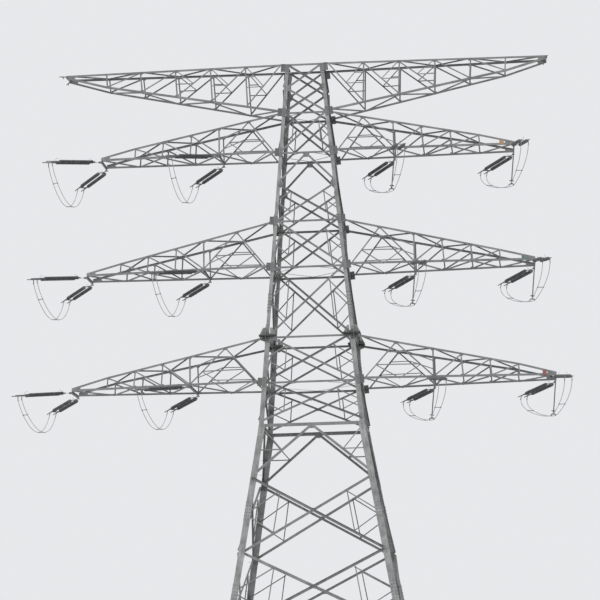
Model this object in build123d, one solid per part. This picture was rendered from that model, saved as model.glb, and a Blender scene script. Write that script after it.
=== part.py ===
from build123d import *
import math
import os

os.makedirs("parts", exist_ok=True)

# Four-circuit tension pylon of bolted steel angles, in millimetres. The origin is on the
# tower's axis at ground level, +Z is up, the crossarms lie along X and the front faces -Y.

# Heights of the joints of the body
peak_level = 36000
shoulder_level = 33200
knee_level = 12800
waist_level = 15700
brace_foot_level = 29100
lower_cross_level = 8750
foot_cross_level = 4500
foot_brace_level = 640

# Half widths of the square body, between the heels of the leg angles
peak_half = 1040
waist_half = 2850
ground_half = 5480

# Levels of the straight chords and of the sloping chords' roots
upper_arm_level = 30900
middle_arm_level = 24400
lower_arm_level = 18000
middle_arm_root = 27000
lower_arm_root = 20500
arm_level = {2: upper_arm_level, 3: middle_arm_level, 4: lower_arm_level}
arm_root = {2: shoulder_level, 3: middle_arm_root, 4: lower_arm_root}

# Reach of the crossarms from the axis, the run from the kink to the tip and the kink's rise
earth_arm_reach = 13500
upper_arm_reach = 11500
middle_arm_reach = 12400
lower_arm_reach = 13300
earth_arm_tip_run = 2300
upper_arm_tip_run = 1900
middle_arm_tip_run = 1900
lower_arm_tip_run = 2000
earth_arm_kink_drop = 850
upper_arm_kink_rise = 650
middle_arm_kink_rise = 650
lower_arm_kink_rise = 700
arm_reach = {
    1: earth_arm_reach,
    2: upper_arm_reach,
    3: middle_arm_reach,
    4: lower_arm_reach,
}
arm_kink_reach = {
    1: earth_arm_reach - earth_arm_tip_run,
    2: upper_arm_reach - upper_arm_tip_run,
    3: middle_arm_reach - middle_arm_tip_run,
    4: lower_arm_reach - lower_arm_tip_run,
}
arm_kink_level = {
    1: peak_level - earth_arm_kink_drop,
    2: upper_arm_level + upper_arm_kink_rise,
    3: middle_arm_level + middle_arm_kink_rise,
    4: lower_arm_level + lower_arm_kink_rise,
}

# Run from the inner to the outer string attachment, and half width of the tips
upper_arm_string_run = 6650
middle_arm_string_run = 6600
lower_arm_string_run = 6650
earth_arm_tip_half = 520
upper_arm_tip_half = 1100
middle_arm_tip_half = 1150
lower_arm_tip_half = 1250
arm_inner_reach = {
    2: upper_arm_reach - upper_arm_string_run,
    3: middle_arm_reach - middle_arm_string_run,
    4: lower_arm_reach - lower_arm_string_run,
}
arm_tip_half = {
    1: earth_arm_tip_half,
    2: upper_arm_tip_half,
    3: middle_arm_tip_half,
    4: lower_arm_tip_half,
}
arm_tip_height = 180
earth_arm_bays = 5
outer_bays = 3
root_gap = 40
tip_plate_reach = 500

# Angle sections and flat bracing
upper_leg_width = 190
middle_leg_width = 260
upper_leg_thick = 24
lower_leg_width = 340
lower_leg_thick = 28
beam_width = 110
waist_beam_width = 180
beam_thick = 12
upper_brace_width = 110
lower_brace_width = 140
brace_thick = 12
chord_width = 110
chord_thick = 12
web_width = 75
web_thick = 8
plan_width = 70
plan_thick = 8
plan_seat = 0.7
plan_frame_width = 80
clearance = 10
waist_gap = 110
gusset_thick = 12
root_gusset_height = 460
gusset_flange = 210
gusset_wing = 250
cross_beam_depth = 160
cross_beam_width = 75
cross_beam_wall = 10

# Base plates
base_plate_side = 700
base_plate_thick = 40
anchor_spacing = 500
anchor_hole = 52

# Insulator strings and fittings
string_length = 2400
string_diameter = 200
string_spacing = 400
string_sides = 6
back_left_heading = -36
back_right_heading = -31
front_left_heading = -50
front_right_heading = 9
back_left_fall = 0.155
back_right_fall = 0.125
front_left_fall = 0.09
front_right_fall = 0.118
lug_length = 150
lug_height = 120
lug_thick = 24
link_length = 290
link_width = 60
yoke_length = 150
yoke_thick = 20
clamp_length = 550
clamp_width = 60
clamp_thick = 50

# Jumper cables and the posts that steady them under the right-hand arms
jumper_diameter = 36
jumper_sides = 6
jumper_runs = 8
jumper_place = 150
jumper_stub = 100
jumper_front_lean = 5
jumper_back_lean = 40
jumper_seat = 0.3
left_front_drop = 600
left_back_drop = 2700
post_front_drop = 1050
post_back_drop = 900
post_front_run = 400
post_back_run = 1300
post_spacing = 240
post_swing = 6
post_lug_height = 110
post_lug_width = 60
post_length = 1850
post_diameter = 90
post_sides = 8
post_bar_width = 320
post_bar_height = 60
post_bar_thick = 20

arm_levels = (2, 3, 4)
middle_peak_level = (shoulder_level + peak_level) / 2
beam_levels = (
    peak_level,
    shoulder_level,
    arm_level[2],
    arm_root[3],
    arm_level[3],
    arm_root[4],
    arm_level[4],
)
plan_frame_levels = (shoulder_level, arm_level[2], arm_level[3], arm_level[4])
east = Vector(1, 0, 0)
north = Vector(0, 1, 0)
up = Vector(0, 0, 1)


def half(level):
    """Half width of the body at a height."""
    if level >= waist_level:
        share = (level - waist_level) / (peak_level - waist_level)
        return waist_half + share * (peak_half - waist_half)
    return ground_half + level / waist_level * (waist_half - ground_half)


def joined(pieces):
    """One shape from pieces that meet."""
    return Part() + pieces


def across(vector, axis):
    """Unit part of a vector at right angles to an axis."""
    return (vector - axis * vector.dot(axis)).normalized()


def prism(points, direction, length):
    """Straight solid with a flat outline."""
    return extrude(make_face(Polyline(*points, close=True)), amount=length, dir=direction)


def angle(start, end, toward_a, toward_b, width, thick):
    """Angle whose heel runs from start to end, with one leg toward each direction."""
    axis = (end - start).normalized()
    a = across(toward_a, axis)
    b = across(toward_b, axis)
    sine = a.cross(b).length
    offsets = (
        Vector(0, 0, 0),
        a * width,
        a * width + across(b, a) * thick,
        (a + b) * (thick / sine),
        b * width + across(a, b) * thick,
        b * width,
    )
    return prism([start + offset for offset in offsets], axis, (end - start).length)


def strip(points, outward, width, thick, depth, outside=False):
    """Flat bar along a line of points, with mitred corners. It starts at a depth behind the
    panel's plane, or in front of it when outside."""
    inward = outward if outside else outward * -1
    points = [point - outward * (point - points[0]).dot(outward) for point in points]
    sides = [outward.cross((b - a).normalized()) for a, b in zip(points, points[1:])]
    offsets = [sides[0] * (width / 2)]
    for a, b in zip(sides, sides[1:]):
        offsets.append((a + b) * (width / 2 / (1 + a.dot(b))))
    offsets.append(sides[-1] * (width / 2))
    left = [point + offset for point, offset in zip(points, offsets)]
    right = [point - offset for point, offset in zip(points, offsets)]
    outline = [point + inward * depth for point in left + right[::-1]]
    return prism(outline, inward, thick)


def zigzag(path, outward, width, thick, depth, outside=False):
    """Strip between chords. Each stop of the path is a point on a chord's heel, the chord's
    direction and the gap that the strip's corner keeps from that heel."""
    corners = []
    for index, (point, chord, gap) in enumerate(path):
        near = [path[i][0] for i in (index - 1, index + 1) if 0 <= i < len(path)]
        rays = [(other - point).normalized() for other in near]
        run = chord.normalized()
        if len(rays) == 2:
            middle = (rays[0] + rays[1]).normalized()
            mitre = width / 2 / math.sin(math.radians(rays[0].get_angle(rays[1]) / 2))
            slant = abs(middle.dot(outward.cross(run)))
            corners.append(point + middle * (mitre + gap / slant))
        else:
            cosine = abs(rays[0].dot(run))
            sine = math.sqrt(1 - cosine * cosine)
            corners.append(point + rays[0] * ((gap + width / 2 * cosine) / sine))
    return strip(corners, outward, width, thick, depth, outside)


def face_point(side, level, inset=0):
    """Point on the front face, on the leg of a side (-1, 1) or on the axis (0)."""
    return Vector(side * (half(level) - inset), -half(level), level)


def face_normal(low, high):
    """Outward normal of the front face between two heights on one side of the waist."""
    return east.cross(face_point(0, high) - face_point(0, low)).normalized()


def leg_size(level):
    """Width and thickness of the leg angle above a height."""
    if level >= lower_arm_root:
        return upper_leg_width, upper_leg_thick
    if level >= waist_level:
        return middle_leg_width, upper_leg_thick
    return lower_leg_width, lower_leg_thick


def brace_width(low):
    """Width of the bracing strips above a height."""
    return upper_brace_width if low >= waist_level else lower_brace_width


def leg_stop(side, level, low, high):
    """Stop of a bracing strip on a leg, clear of the strips of the next face."""
    gap = leg_size(low)[1] + brace_thick + clearance
    return face_point(side, level), face_point(side, high) - face_point(side, low), gap


def middle_stop(level):
    """Stop of a bracing strip under the middle of a beam."""
    return face_point(0, level), east, beam_thick + clearance


def brace(path, low, high, outside=False):
    """Bracing strip of the front face, behind the leg flanges or in front of them."""
    depth = 0 if outside else leg_size(low)[1]
    normal = face_normal(low, high)
    return zigzag(path, normal, brace_width(low), brace_thick, depth, outside)


def crossed(levels, side):
    """Two strips that zigzag between the legs and cross in each panel, with the packings that
    join them where they cross."""
    low, high = levels[-1], levels[0]
    pieces = []
    for sense, outside in ((side, False), (-side, True)):
        path = []
        for step, level in enumerate(levels):
            path.append(leg_stop(sense * (-1) ** step, level, low, high))
        pieces.append(brace(path, low, high, outside))
    for top, foot in zip(levels, levels[1:]):
        crossing = foot + (top - foot) * half(foot) / (half(foot) + half(top))
        width = brace_width(low)
        ends = [face_point(0, crossing + sense * width / 2) for sense in (-1, 1)]
        pieces.append(strip(ends, face_normal(low, high), width, leg_size(low)[1], 0))
    return pieces


def inverted_v(high, low):
    """Strip from one leg up to the middle of a beam and down to the other leg."""
    path = [leg_stop(-1, low, low, high), middle_stop(high), leg_stop(1, low, low, high)]
    return brace(path, low, high)


def beam(level, low, width=beam_width):
    """Horizontal angle of a face, with one leg down the face and one level, inward."""
    thick = leg_size(low)[1]
    inset = thick + width + clearance
    heel = face_normal(low, level) * -thick
    start = face_point(-1, level, inset) + heel
    end = face_point(1, level, inset) + heel
    down = face_point(0, low) - face_point(0, level)
    return angle(start, end, down, north, width, beam_thick)


def foot_bar(side):
    """Bar from the foot of a leg up to the lower edge of the first beam, near its middle."""
    low, high = foot_brace_level, foot_cross_level
    outward = face_normal(low, high)
    down = across(up * -1, outward)
    width = lower_brace_width
    edge = face_point(0, high) + down * (beam_width + plan_seat)
    top = edge + east * (side * width)
    stop = leg_stop(side, low, low, high)
    run = (top - stop[0]).normalized()
    aside = outward.cross(run)
    start = stop[0] + run * (stop[2] + width)
    ends = [start + aside * (sense * width / 2) for sense in (-1, 1)]
    tops = [end + run * ((edge - end).dot(down) / run.dot(down)) for end in ends]
    depth = outward * -leg_size(low)[1]
    outline = [point + depth for point in (ends[0], ends[1], tops[1], tops[0])]
    return prism(outline, outward * -1, brace_thick)


def upper_face(with_arms):
    """Bracing of one face above the waist, as the front face."""
    above_waist = waist_level + waist_gap
    pieces = crossed((peak_level, middle_peak_level, shoulder_level, arm_level[2]), 1)
    pieces.append(inverted_v(arm_level[2], brace_foot_level))
    pieces += crossed(
        (brace_foot_level,) + beam_levels[3:] + (above_waist,),
        1,
    )
    pieces += [beam(level, level - beam_width) for level in beam_levels]
    if with_arms:
        roots = [(1, peak_level)]
        roots += [(number, level) for number in arm_levels for level in arm_roots(number)]
        for number, level in roots:
            gusset = root_gusset(number, level)
            pieces += [gusset, mirror(gusset, about=Plane.YZ)]
    return joined(pieces)


def lower_face():
    """Bracing of one face below the waist, as the front face, with two loose foot bars."""
    pieces = [beam(waist_level, knee_level, waist_beam_width)]
    pieces.append(beam(foot_cross_level, foot_brace_level))
    pieces.append(inverted_v(waist_level, knee_level))
    pieces += crossed((knee_level, lower_cross_level, foot_cross_level), 1)
    return [joined(pieces), foot_bar(-1), foot_bar(1)]


def leg():
    """Front right leg: three angles, which turn at the waist and narrow at the lowest roots."""
    pieces = []
    stops = (base_plate_thick, waist_level, lower_arm_root, peak_level)
    for low, high in zip(stops, stops[1:]):
        width, thick = leg_size(low)
        start = face_point(1, low)
        end = face_point(1, high)
        overrun = (end - start).normalized() * width
        raw = angle(start - overrun, end + overrun, east * -1, north, width, thick)
        room = 4 * ground_half
        pieces.append(raw & Pos(0, 0, (low + high) / 2) * Box(room, room, high - low))
    return joined(pieces)


def arm_roots(number):
    """Heights at which the lower and the upper chord of an arm meet the leg."""
    if number == 1:
        return shoulder_level, peak_level
    return arm_level[number], arm_root[number]


def arm_plane(number):
    """Outward normal of a front right truss, through the leg's heel and the arm's tip."""
    low, high = arm_roots(number)
    foot = face_point(1, low)
    tip = Vector(
        arm_reach[number], -arm_tip_half[number], peak_level if number == 1 else low
    )
    return (tip - foot).cross(face_point(1, high) - foot).normalized()


def on_truss(number, x, level):
    """Point of a front right truss."""
    foot = face_point(1, arm_roots(number)[0])
    normal = arm_plane(number)
    y = foot.Y - (normal.X * (x - foot.X) + normal.Z * (level - foot.Z)) / normal.Y
    return Vector(x, y, level)


def chord_lines(number):
    """Heel points of the lower and upper chords of a front right truss, root first."""
    low, high = arm_roots(number)
    reach = arm_reach[number]
    foot = face_point(1, low)
    top = face_point(1, high)
    kink = on_truss(number, arm_kink_reach[number], arm_kink_level[number])
    if number == 1:
        end = on_truss(number, reach, high - arm_tip_height)
        return (foot, kink, end), (top, on_truss(number, reach, high))
    end = on_truss(number, reach, low + arm_tip_height)
    return (foot, on_truss(number, reach, low)), (top, kink, end)


def chord_span(line, x):
    """The straight part of a chord line at a distance from the tower's axis."""
    for start, end in zip(line, line[1:]):
        if x <= end.X:
            return start, end
    return line[-2], line[-1]


def at_reach(line, x):
    """Point of a chord line at a distance from the tower's axis."""
    start, end = chord_span(line, x)
    return start + (end - start) * ((x - start.X) / (end.X - start.X))


def chord_stop(line, x, gap):
    """Stop of a web or plan strip on a chord."""
    start, end = chord_span(line, x)
    return at_reach(line, x), end - start, gap


def root_gusset(number, level):
    """Bent plate on the front of the leg that carries the right arm's chord."""
    low, high = arm_roots(number)
    axis = (face_point(1, high) - face_point(1, low)).normalized()
    front = face_normal(low, high)
    truss_normal = arm_plane(number)
    inner = across(east * -1, axis) * gusset_flange
    outer = across(on_truss(number, arm_reach[number], low) - face_point(1, low), axis)
    outer = outer * gusset_wing
    below = 1.0 if level == peak_level else 0.5
    heel = face_point(1, level) - axis * (root_gusset_height * below)
    corner = (front + truss_normal) * (gusset_thick / (1 + front.dot(truss_normal)))
    points = (
        heel,
        heel + inner,
        heel + inner + front * gusset_thick,
        heel + corner,
        heel + outer + truss_normal * gusset_thick,
        heel + outer,
    )
    return prism(points, axis, root_gusset_height)


def web_nodes(number):
    """Distances from the axis at which the webs of an arm meet the chords."""
    kink = arm_kink_reach[number]
    if number == 1:
        first = half(shoulder_level)
        bay = (kink - first) / earth_arm_bays
        return [first + bay * step for step in range(1, earth_arm_bays + 1)]
    inner = arm_inner_reach[number]
    bay = (kink - inner) / outer_bays
    nodes = [(half(arm_level[number]) + inner) / 2, inner]
    return nodes + [inner + bay * step for step in range(1, outer_bays + 1)]


def web_path(number, lower, upper):
    """Stops of the web strip of a truss, from the root to the kink."""
    nodes = web_nodes(number)
    gap = chord_thick + clearance / 2
    if number == 1:
        stops = [(upper, upper[0].X + gusset_wing)]
        for x in nodes:
            stops += [(lower, x), (upper, x)]
    else:
        stops = [(lower, lower[0].X + gusset_wing), (upper, nodes[0]), (lower, nodes[1])]
        for x in nodes[2:]:
            stops += [(upper, x), (lower, x)]
    return [chord_stop(line, x, gap) for line, x in stops]


def tip_plate(number, lower, upper):
    """Plate that closes the tip between the two chords."""
    near = arm_reach[number] - tip_plate_reach
    lift = across(up, arm_plane(number)) * (chord_thick + clearance / 2)
    outline = [
        at_reach(lower, near) + lift,
        lower[-1] + lift,
        upper[-1] - lift,
        at_reach(upper, near) - lift,
    ]
    inward = arm_plane(number) * -1
    return prism([point + inward * chord_thick for point in outline], inward, web_thick)


def truss(number):
    """Front truss of a right crossarm: two chords, web strip, post and tip plate."""
    lower, upper = chord_lines(number)
    normal = arm_plane(number)
    rise = upper[0] - lower[0]
    pieces = []
    for line, toward in ((lower, rise), (upper, rise * -1)):
        points = (at_reach(line, line[0].X + root_gap),) + line[1:]
        for a, b in zip(points, points[1:]):
            pieces.append(angle(a, b, toward, north, chord_width, chord_thick))
    path = web_path(number, lower, upper)
    pieces.append(zigzag(path, normal, web_width, web_thick, chord_thick))
    if number in arm_levels:
        inner = arm_inner_reach[number]
        gap = chord_thick + clearance / 2
        post = [chord_stop(line, inner, gap) for line in (lower, upper)]
        pieces.append(zigzag(post, normal, web_width, web_thick, chord_thick))
    pieces.append(tip_plate(number, lower, upper))
    return joined(pieces)


def plan_strip(line, nodes, sense):
    """Zigzag between the front and back chords, under them (-1) or over them (1)."""
    path = []
    for step, x in enumerate(nodes):
        point, run, gap = chord_stop(line, x, clearance)
        side = (-1) ** step
        path.append((Vector(point.X, side * point.Y, point.Z), Vector(run.X, side * run.Y, run.Z), gap))
    start, end = chord_span(line, nodes[0])
    normal = (end - start).cross(north).normalized()
    if normal.Z * sense < 0:
        normal = normal * -1
    return zigzag(path, normal, plan_width, plan_thick, plan_seat, outside=True)


def cross_beam(number, x):
    """Channel under the lower chords that carries the insulator strings."""
    reach = -at_reach(chord_lines(number)[0], x).Y
    high = arm_level[number]
    low = high - cross_beam_depth
    inner = x - cross_beam_width
    web = x - cross_beam_wall
    profile = (
        (x, high),
        (inner, high),
        (inner, high - cross_beam_wall),
        (web, high - cross_beam_wall),
        (web, low + cross_beam_wall),
        (inner, low + cross_beam_wall),
        (inner, low),
        (x, low),
    )
    return prism([Vector(px, -reach, pz) for px, pz in profile], north, 2 * reach)


def string_seat(number, x, side, pull):
    """Point on a cross beam's web, near its end, where a string pulls."""
    reach = -at_reach(chord_lines(number)[0], x).Y - cross_beam_width / 2
    level = arm_level[number] - cross_beam_depth / 2
    sense = 1 if pull.Y > 0 else -1
    return Vector(side * (x - cross_beam_wall / 2), sense * reach, level)


def string_lug(number, x, side, pull):
    """Plate at the end of a cross beam, in line with the pull of a string."""
    seat = string_seat(number, x, side, pull)
    outward = across(up, pull).cross(pull)
    ends = [seat - pull * (cross_beam_width / 4), seat + pull * lug_length]
    return strip(ends, outward, lug_height, lug_thick, -lug_thick / 2)


def plan_bracing(number, side):
    """Strips under the lower chords and over the upper chords, with beams and lugs."""
    lower, upper = chord_lines(number)
    nodes = web_nodes(number)
    tip = arm_reach[number] - cross_beam_width / 2
    lower_nodes = [lower[0].X + gusset_wing] + nodes
    upper_nodes = [upper[0].X + gusset_wing] + nodes
    if number == 1:
        bottom = plan_strip(lower, lower_nodes, -1)
        top = plan_strip(upper, upper_nodes + [tip], 1)
    else:
        spots = (arm_inner_reach[number], arm_reach[number])
        pieces = [plan_strip(lower, lower_nodes + [tip], -1)]
        pieces += [cross_beam(number, x) for x in spots]
        bottom = joined(pieces)
        top = plan_strip(upper, upper_nodes, 1)
    if side < 0:
        bottom = mirror(bottom, about=Plane.YZ)
        top = mirror(top, about=Plane.YZ)
    if number in arm_levels:
        pulls = (front_pulls[side], back_pulls[side])
        bottom = joined(
            [bottom] + [string_lug(number, x, side, pull) for x in spots for pull in pulls]
        )
    return [bottom, top]


def plan_frame(level):
    """Diamond on the beams inside the body, with its corners at their middles."""
    thick = leg_size(level)[1]
    seat = face_point(0, level) - face_normal(level - beam_width, level) * thick
    side = (-seat.Y - clearance) * math.sqrt(2)
    outline = Rectangle(side, side) - Rectangle(
        side - 2 * plan_frame_width, side - 2 * plan_frame_width
    )
    return Pos(0, 0, seat.Z) * Rot(0, 0, 45) * extrude(outline, amount=plan_thick)


def base_plate():
    """Anchor plate under the front right leg."""
    offset = half(base_plate_thick) - lower_leg_width / 2
    plate = Box(base_plate_side, base_plate_side, base_plate_thick)
    holes = GridLocations(anchor_spacing, anchor_spacing, 2, 2) * Cylinder(
        anchor_hole / 2, 2 * base_plate_thick
    )
    return Pos(offset, -offset, base_plate_thick / 2) * (plate - holes)


def heading_vector(heading, fall, sense):
    """Unit pull of a span, sense +1 behind the tower and -1 in front of it."""
    turn = math.radians(heading)
    return Vector(math.sin(turn), sense * math.cos(turn), -fall).normalized()


def rod(start, end, diameter, sides):
    """Straight round bar with flat sides."""
    axis = (end - start).normalized()
    section = Plane(origin=start, z_dir=axis) * RegularPolygon(diameter / 2, sides)
    return extrude(section, amount=(end - start).length, dir=axis)


def string_set(seat, pull, lean):
    """Twin insulator string: insulators, plates at both ends and the jumpers' starts."""
    flat = across(up, pull)
    aside = flat.cross(pull).normalized()
    start = seat + pull * lug_length
    near = start + pull * (link_length + yoke_length)
    far = near + pull * string_length
    spread = string_spacing / 2
    wide = spread + clamp_width / 2
    slot = spread - clamp_width / 2
    insulators = [
        rod(near + aside * side, far + aside * side, string_diameter, string_sides)
        for side in (-spread, spread)
    ]

    def plate(origin, outline, thick):
        points = [
            origin + pull * along + aside * offset - flat * (thick / 2)
            for along, offset in outline
        ]
        return prism(points, flat, thick)

    link = link_width / 2
    whole = link_length + yoke_length
    near_plate = plate(
        start,
        ((0, -link), (link_length, -link), (whole, -wide), (whole, wide), (link_length, link), (0, link)),
        yoke_thick,
    )
    end = yoke_length + clamp_length
    far_plate = plate(
        far,
        (
            (0, -wide),
            (end, -wide),
            (end, -slot),
            (yoke_length, -slot),
            (yoke_length, slot),
            (end, slot),
            (end, wide),
            (0, wide),
        ),
        clamp_thick,
    )
    turn = math.radians(lean)
    leave = pull * math.sin(turn) - flat * math.cos(turn)
    lift = jumper_diameter / 2 * math.tan(turn) + jumper_seat
    base = far + pull * (yoke_length + jumper_place) - flat * (clamp_thick / 2) + leave * lift
    starts = [base + aside * side for side in (-spread, spread)]
    return insulators, [near_plate, far_plate], starts, leave


def cable(points):
    """Jumper cable of straight runs with mitred corners."""
    section = Plane(origin=points[0], z_dir=points[1] - points[0]) * RegularPolygon(
        jumper_diameter / 2, jumper_sides
    )
    return sweep(section, path=Polyline(*points), transition=Transition.RIGHT)


def hanging(start, leave, end, arrive, runs):
    """Points of a cable that leaves both ends straight, then bends along a vector at each."""
    near = start + leave.normalized() * jumper_stub
    far = end + arrive.normalized() * jumper_stub
    points = [start]
    for step in range(runs + 1):
        share = step / runs
        rest = 1 - share
        points.append(
            near * rest**3
            + (near + leave) * (3 * rest**2 * share)
            + (far + arrive) * (3 * rest * share**2)
            + far * share**3
        )
    return points + [end]


def post_foot(number, x):
    """Middle of the lower edge of a jumper post's bar, under a right cross beam."""
    turn = math.radians(post_swing)
    run = post_length + post_bar_height
    hinge = Vector(x - cross_beam_width / 2, 0, arm_level[number] - cross_beam_depth)
    return hinge - Vector(math.sin(turn), 0, math.cos(turn)) * run


def jumper_post(number, x):
    """Lug under a cross beam, with a swung rod and the bar that steadies the two jumpers."""
    foot = post_foot(number, x)
    beam_foot = arm_level[number] - cross_beam_depth
    lug = Pos(x - cross_beam_width / 2, 0, beam_foot - post_lug_height / 2) * Box(
        post_lug_width, post_lug_width, post_lug_height
    )
    bar = Pos(foot.X, foot.Y, foot.Z + post_bar_height / 2) * Box(
        post_bar_width, post_bar_thick, post_bar_height
    )
    hinge = Vector(x - cross_beam_width / 2, 0, beam_foot - post_lug_height / 2)
    return joined([lug, rod(hinge, foot + up * (post_bar_height / 2), post_diameter, post_sides), bar])


def jumper_pair(number, x, side, front_set, back_set):
    """Two jumpers from the front clamps to the back clamps, led under a post on the right."""
    pieces = []
    leave = front_set[3]
    arrive = back_set[3]
    for start, end, place in zip(front_set[2], back_set[2][::-1], (-1, 1)):
        if side > 0:
            below = jumper_diameter / 2 + jumper_seat
            hold = post_foot(number, x) + Vector(place * post_spacing / 2, 0, -below)
            along = Vector(end.X - start.X, end.Y - start.Y, 0).normalized()
            runs = jumper_runs // 2
            points = hanging(start, leave * post_front_drop, hold, along * -post_front_run, runs)
            onward = along * post_back_run
            points += hanging(hold, onward, end, arrive * post_back_drop, runs)[1:]
        else:
            front = leave * left_front_drop
            points = hanging(start, front, end, arrive * left_back_drop, jumper_runs)
        pieces.append(cable(points))
    return pieces


def write(name, shapes):
    """One sub-part as a STEP file."""
    solids = []
    for shape in shapes:
        solids += shape.solids()
    export_step(Compound(children=solids), f"parts/{name}.step")


back_pulls = {
    -1: heading_vector(back_left_heading, back_left_fall, 1),
    1: heading_vector(back_right_heading, back_right_fall, 1),
}
front_pulls = {
    -1: heading_vector(front_left_heading, front_left_fall, -1),
    1: heading_vector(front_right_heading, front_right_fall, -1),
}
side_names = {-1: "left", 1: "right"}

front_leg = leg()
back_leg = mirror(front_leg, about=Plane.XZ)
write("leg_front_right", [front_leg])
write("leg_front_left", [mirror(front_leg, about=Plane.YZ)])
write("leg_back_right", [back_leg])
write("leg_back_left", [mirror(back_leg, about=Plane.YZ)])

arm_side_face = upper_face(True)
plain_face = upper_face(False)
low_face = lower_face()
for name, turn, upper in (
    ("front", 0, arm_side_face),
    ("right", 90, plain_face),
    ("back", 180, arm_side_face),
    ("left", 270, plain_face),
):
    write(f"upper_bracing_{name}", [Rot(0, 0, turn) * upper])
    write(f"lower_bracing_{name}", [Rot(0, 0, turn) * shape for shape in low_face])

write("plan_frames", [plan_frame(level) for level in plan_frame_levels])
anchor_plate = base_plate()
write("base_plates", [Rot(0, 0, turn) * anchor_plate for turn in (0, 90, 180, 270)])

for number in (1,) + arm_levels:
    front_truss = truss(number)
    for side, name in side_names.items():
        near = mirror(front_truss, about=Plane.YZ) if side < 0 else front_truss
        write(f"crossarm_{number}_{name}_front", [near])
        write(f"crossarm_{number}_{name}_back", [mirror(near, about=Plane.XZ)])
        write(f"crossarm_{number}_{name}_plan", plan_bracing(number, side))

spots = [(number, x) for number in arm_levels for x in (arm_inner_reach[number], arm_reach[number])]
for side, name in side_names.items():
    insulators = []
    fittings = []
    jumpers = []
    for number, x in spots:
        sets = [
            string_set(string_seat(number, x, side, pull), pull, lean)
            for pull, lean in (
                (front_pulls[side], jumper_front_lean),
                (back_pulls[side], jumper_back_lean),
            )
        ]
        for string in sets:
            insulators += string[0]
            fittings += string[1]
        jumpers += jumper_pair(number, x, side, *sets)
    write(f"insulators_{name}", insulators)
    write(f"string_fittings_{name}", fittings)
    write(f"jumpers_{name}", jumpers)
write("jumper_posts_right", [jumper_post(number, x) for number, x in spots])
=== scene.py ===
import math

import bmesh
import bpy
from mathutils import Matrix, Vector


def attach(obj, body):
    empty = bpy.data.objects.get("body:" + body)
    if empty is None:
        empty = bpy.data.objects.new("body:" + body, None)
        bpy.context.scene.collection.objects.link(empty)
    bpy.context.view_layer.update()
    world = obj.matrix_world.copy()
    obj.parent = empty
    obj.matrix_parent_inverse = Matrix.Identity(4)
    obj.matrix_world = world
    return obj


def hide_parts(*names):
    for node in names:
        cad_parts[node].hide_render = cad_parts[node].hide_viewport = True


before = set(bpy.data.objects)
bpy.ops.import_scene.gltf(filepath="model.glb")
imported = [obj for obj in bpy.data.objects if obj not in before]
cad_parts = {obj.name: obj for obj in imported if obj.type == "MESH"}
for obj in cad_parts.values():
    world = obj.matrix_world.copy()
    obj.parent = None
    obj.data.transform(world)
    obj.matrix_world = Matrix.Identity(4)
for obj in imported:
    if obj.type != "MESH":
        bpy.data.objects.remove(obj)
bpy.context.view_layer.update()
print("stage 1: frame loaded, nodes", len(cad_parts))

# The tower's own lines, as the source has them, in metres
levels = {
    "peak": 36.0,
    "topBay": 34.6,
    "shoulder": 33.2,
    "arm2": 30.9,
    "braceFoot": 29.1,
    "legStep": 20.5,  # flange joint
    "waist": 15.7,  # bend of the legs
    "knee": 12.8,
    "lowerCross": 8.75,
    "footCross": 4.5,
    "footBrace": 0.64,
}
halves = {"peak": 1.04, "waist": 2.85, "foot": 5.48}  # half widths of the body
gussetWing = 0.25  # of the bent root plates, beside a leg
waistGap = 0.11  # from the bend to the bracing above it

# The camera stands low in front of the tower and looks up at it
camera = {
    "distance": 140.0,
    "height": 1.6,
    "azimuth": 3.804,
    "pitch": 8.614,
    "yaw": 0.269,
    "roll": -1.498,
    "lens": 153.22,
    "sensor": 36,
    "clip": (1, 1000),
}
azimuth = math.radians(camera["azimuth"])
heading = azimuth + math.radians(camera["yaw"])
pitch = math.radians(camera["pitch"])
roll = math.radians(camera["roll"])
forward = Vector((-math.sin(heading) * math.cos(pitch), math.cos(heading) * math.cos(pitch), math.sin(pitch)))
flatRight = forward.cross(Vector((0, 0, 1))).normalized()
upright = flatRight.cross(forward)
sideways = flatRight * math.cos(roll) + upright * math.sin(roll)
upward = upright * math.cos(roll) - flatRight * math.sin(roll)
cameraData = bpy.data.cameras.new("photoCamera")
cameraData.lens = camera["lens"]
cameraData.sensor_width = camera["sensor"]
cameraData.clip_start, cameraData.clip_end = camera["clip"]
cameraObject = bpy.data.objects.new("photoCamera", cameraData)
turn = Matrix((sideways, upward, -forward)).transposed().to_4x4()
away = Vector((math.sin(azimuth), -math.cos(azimuth), 0)) * camera["distance"]
place = away + Vector((0, 0, camera["height"]))
cameraObject.matrix_world = Matrix.Translation(place) @ turn
bpy.context.scene.collection.objects.link(cameraObject)
bpy.context.scene.camera = cameraObject


# Materials
def newMaterial(name):
    material = bpy.data.materials.new(name)
    material.use_nodes = True
    tree = material.node_tree
    return material, tree, tree.nodes["Principled BSDF"]


def stretched(tree, coordinate, stretch):
    mapping = tree.nodes.new("ShaderNodeMapping")
    mapping.inputs["Scale"].default_value = stretch
    tree.links.new(coordinate, mapping.inputs["Vector"])
    return mapping.outputs["Vector"]


def noise(tree, coordinate, scale, detail=4.0, stretch=(1, 1, 1)):
    node = tree.nodes.new("ShaderNodeTexNoise")
    node.inputs["Scale"].default_value = scale
    node.inputs["Detail"].default_value = detail
    tree.links.new(stretched(tree, coordinate, stretch), node.inputs["Vector"])
    return node.outputs["Fac"]


def ramp(tree, value, stops):
    node = tree.nodes.new("ShaderNodeValToRGB")
    while len(node.color_ramp.elements) < len(stops):
        node.color_ramp.elements.new(0.5)
    for element, (position, colour) in zip(node.color_ramp.elements, stops):
        element.position = position
        element.color = (*colour, 1)
    tree.links.new(value, node.inputs["Fac"])
    return node.outputs["Color"]


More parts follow.
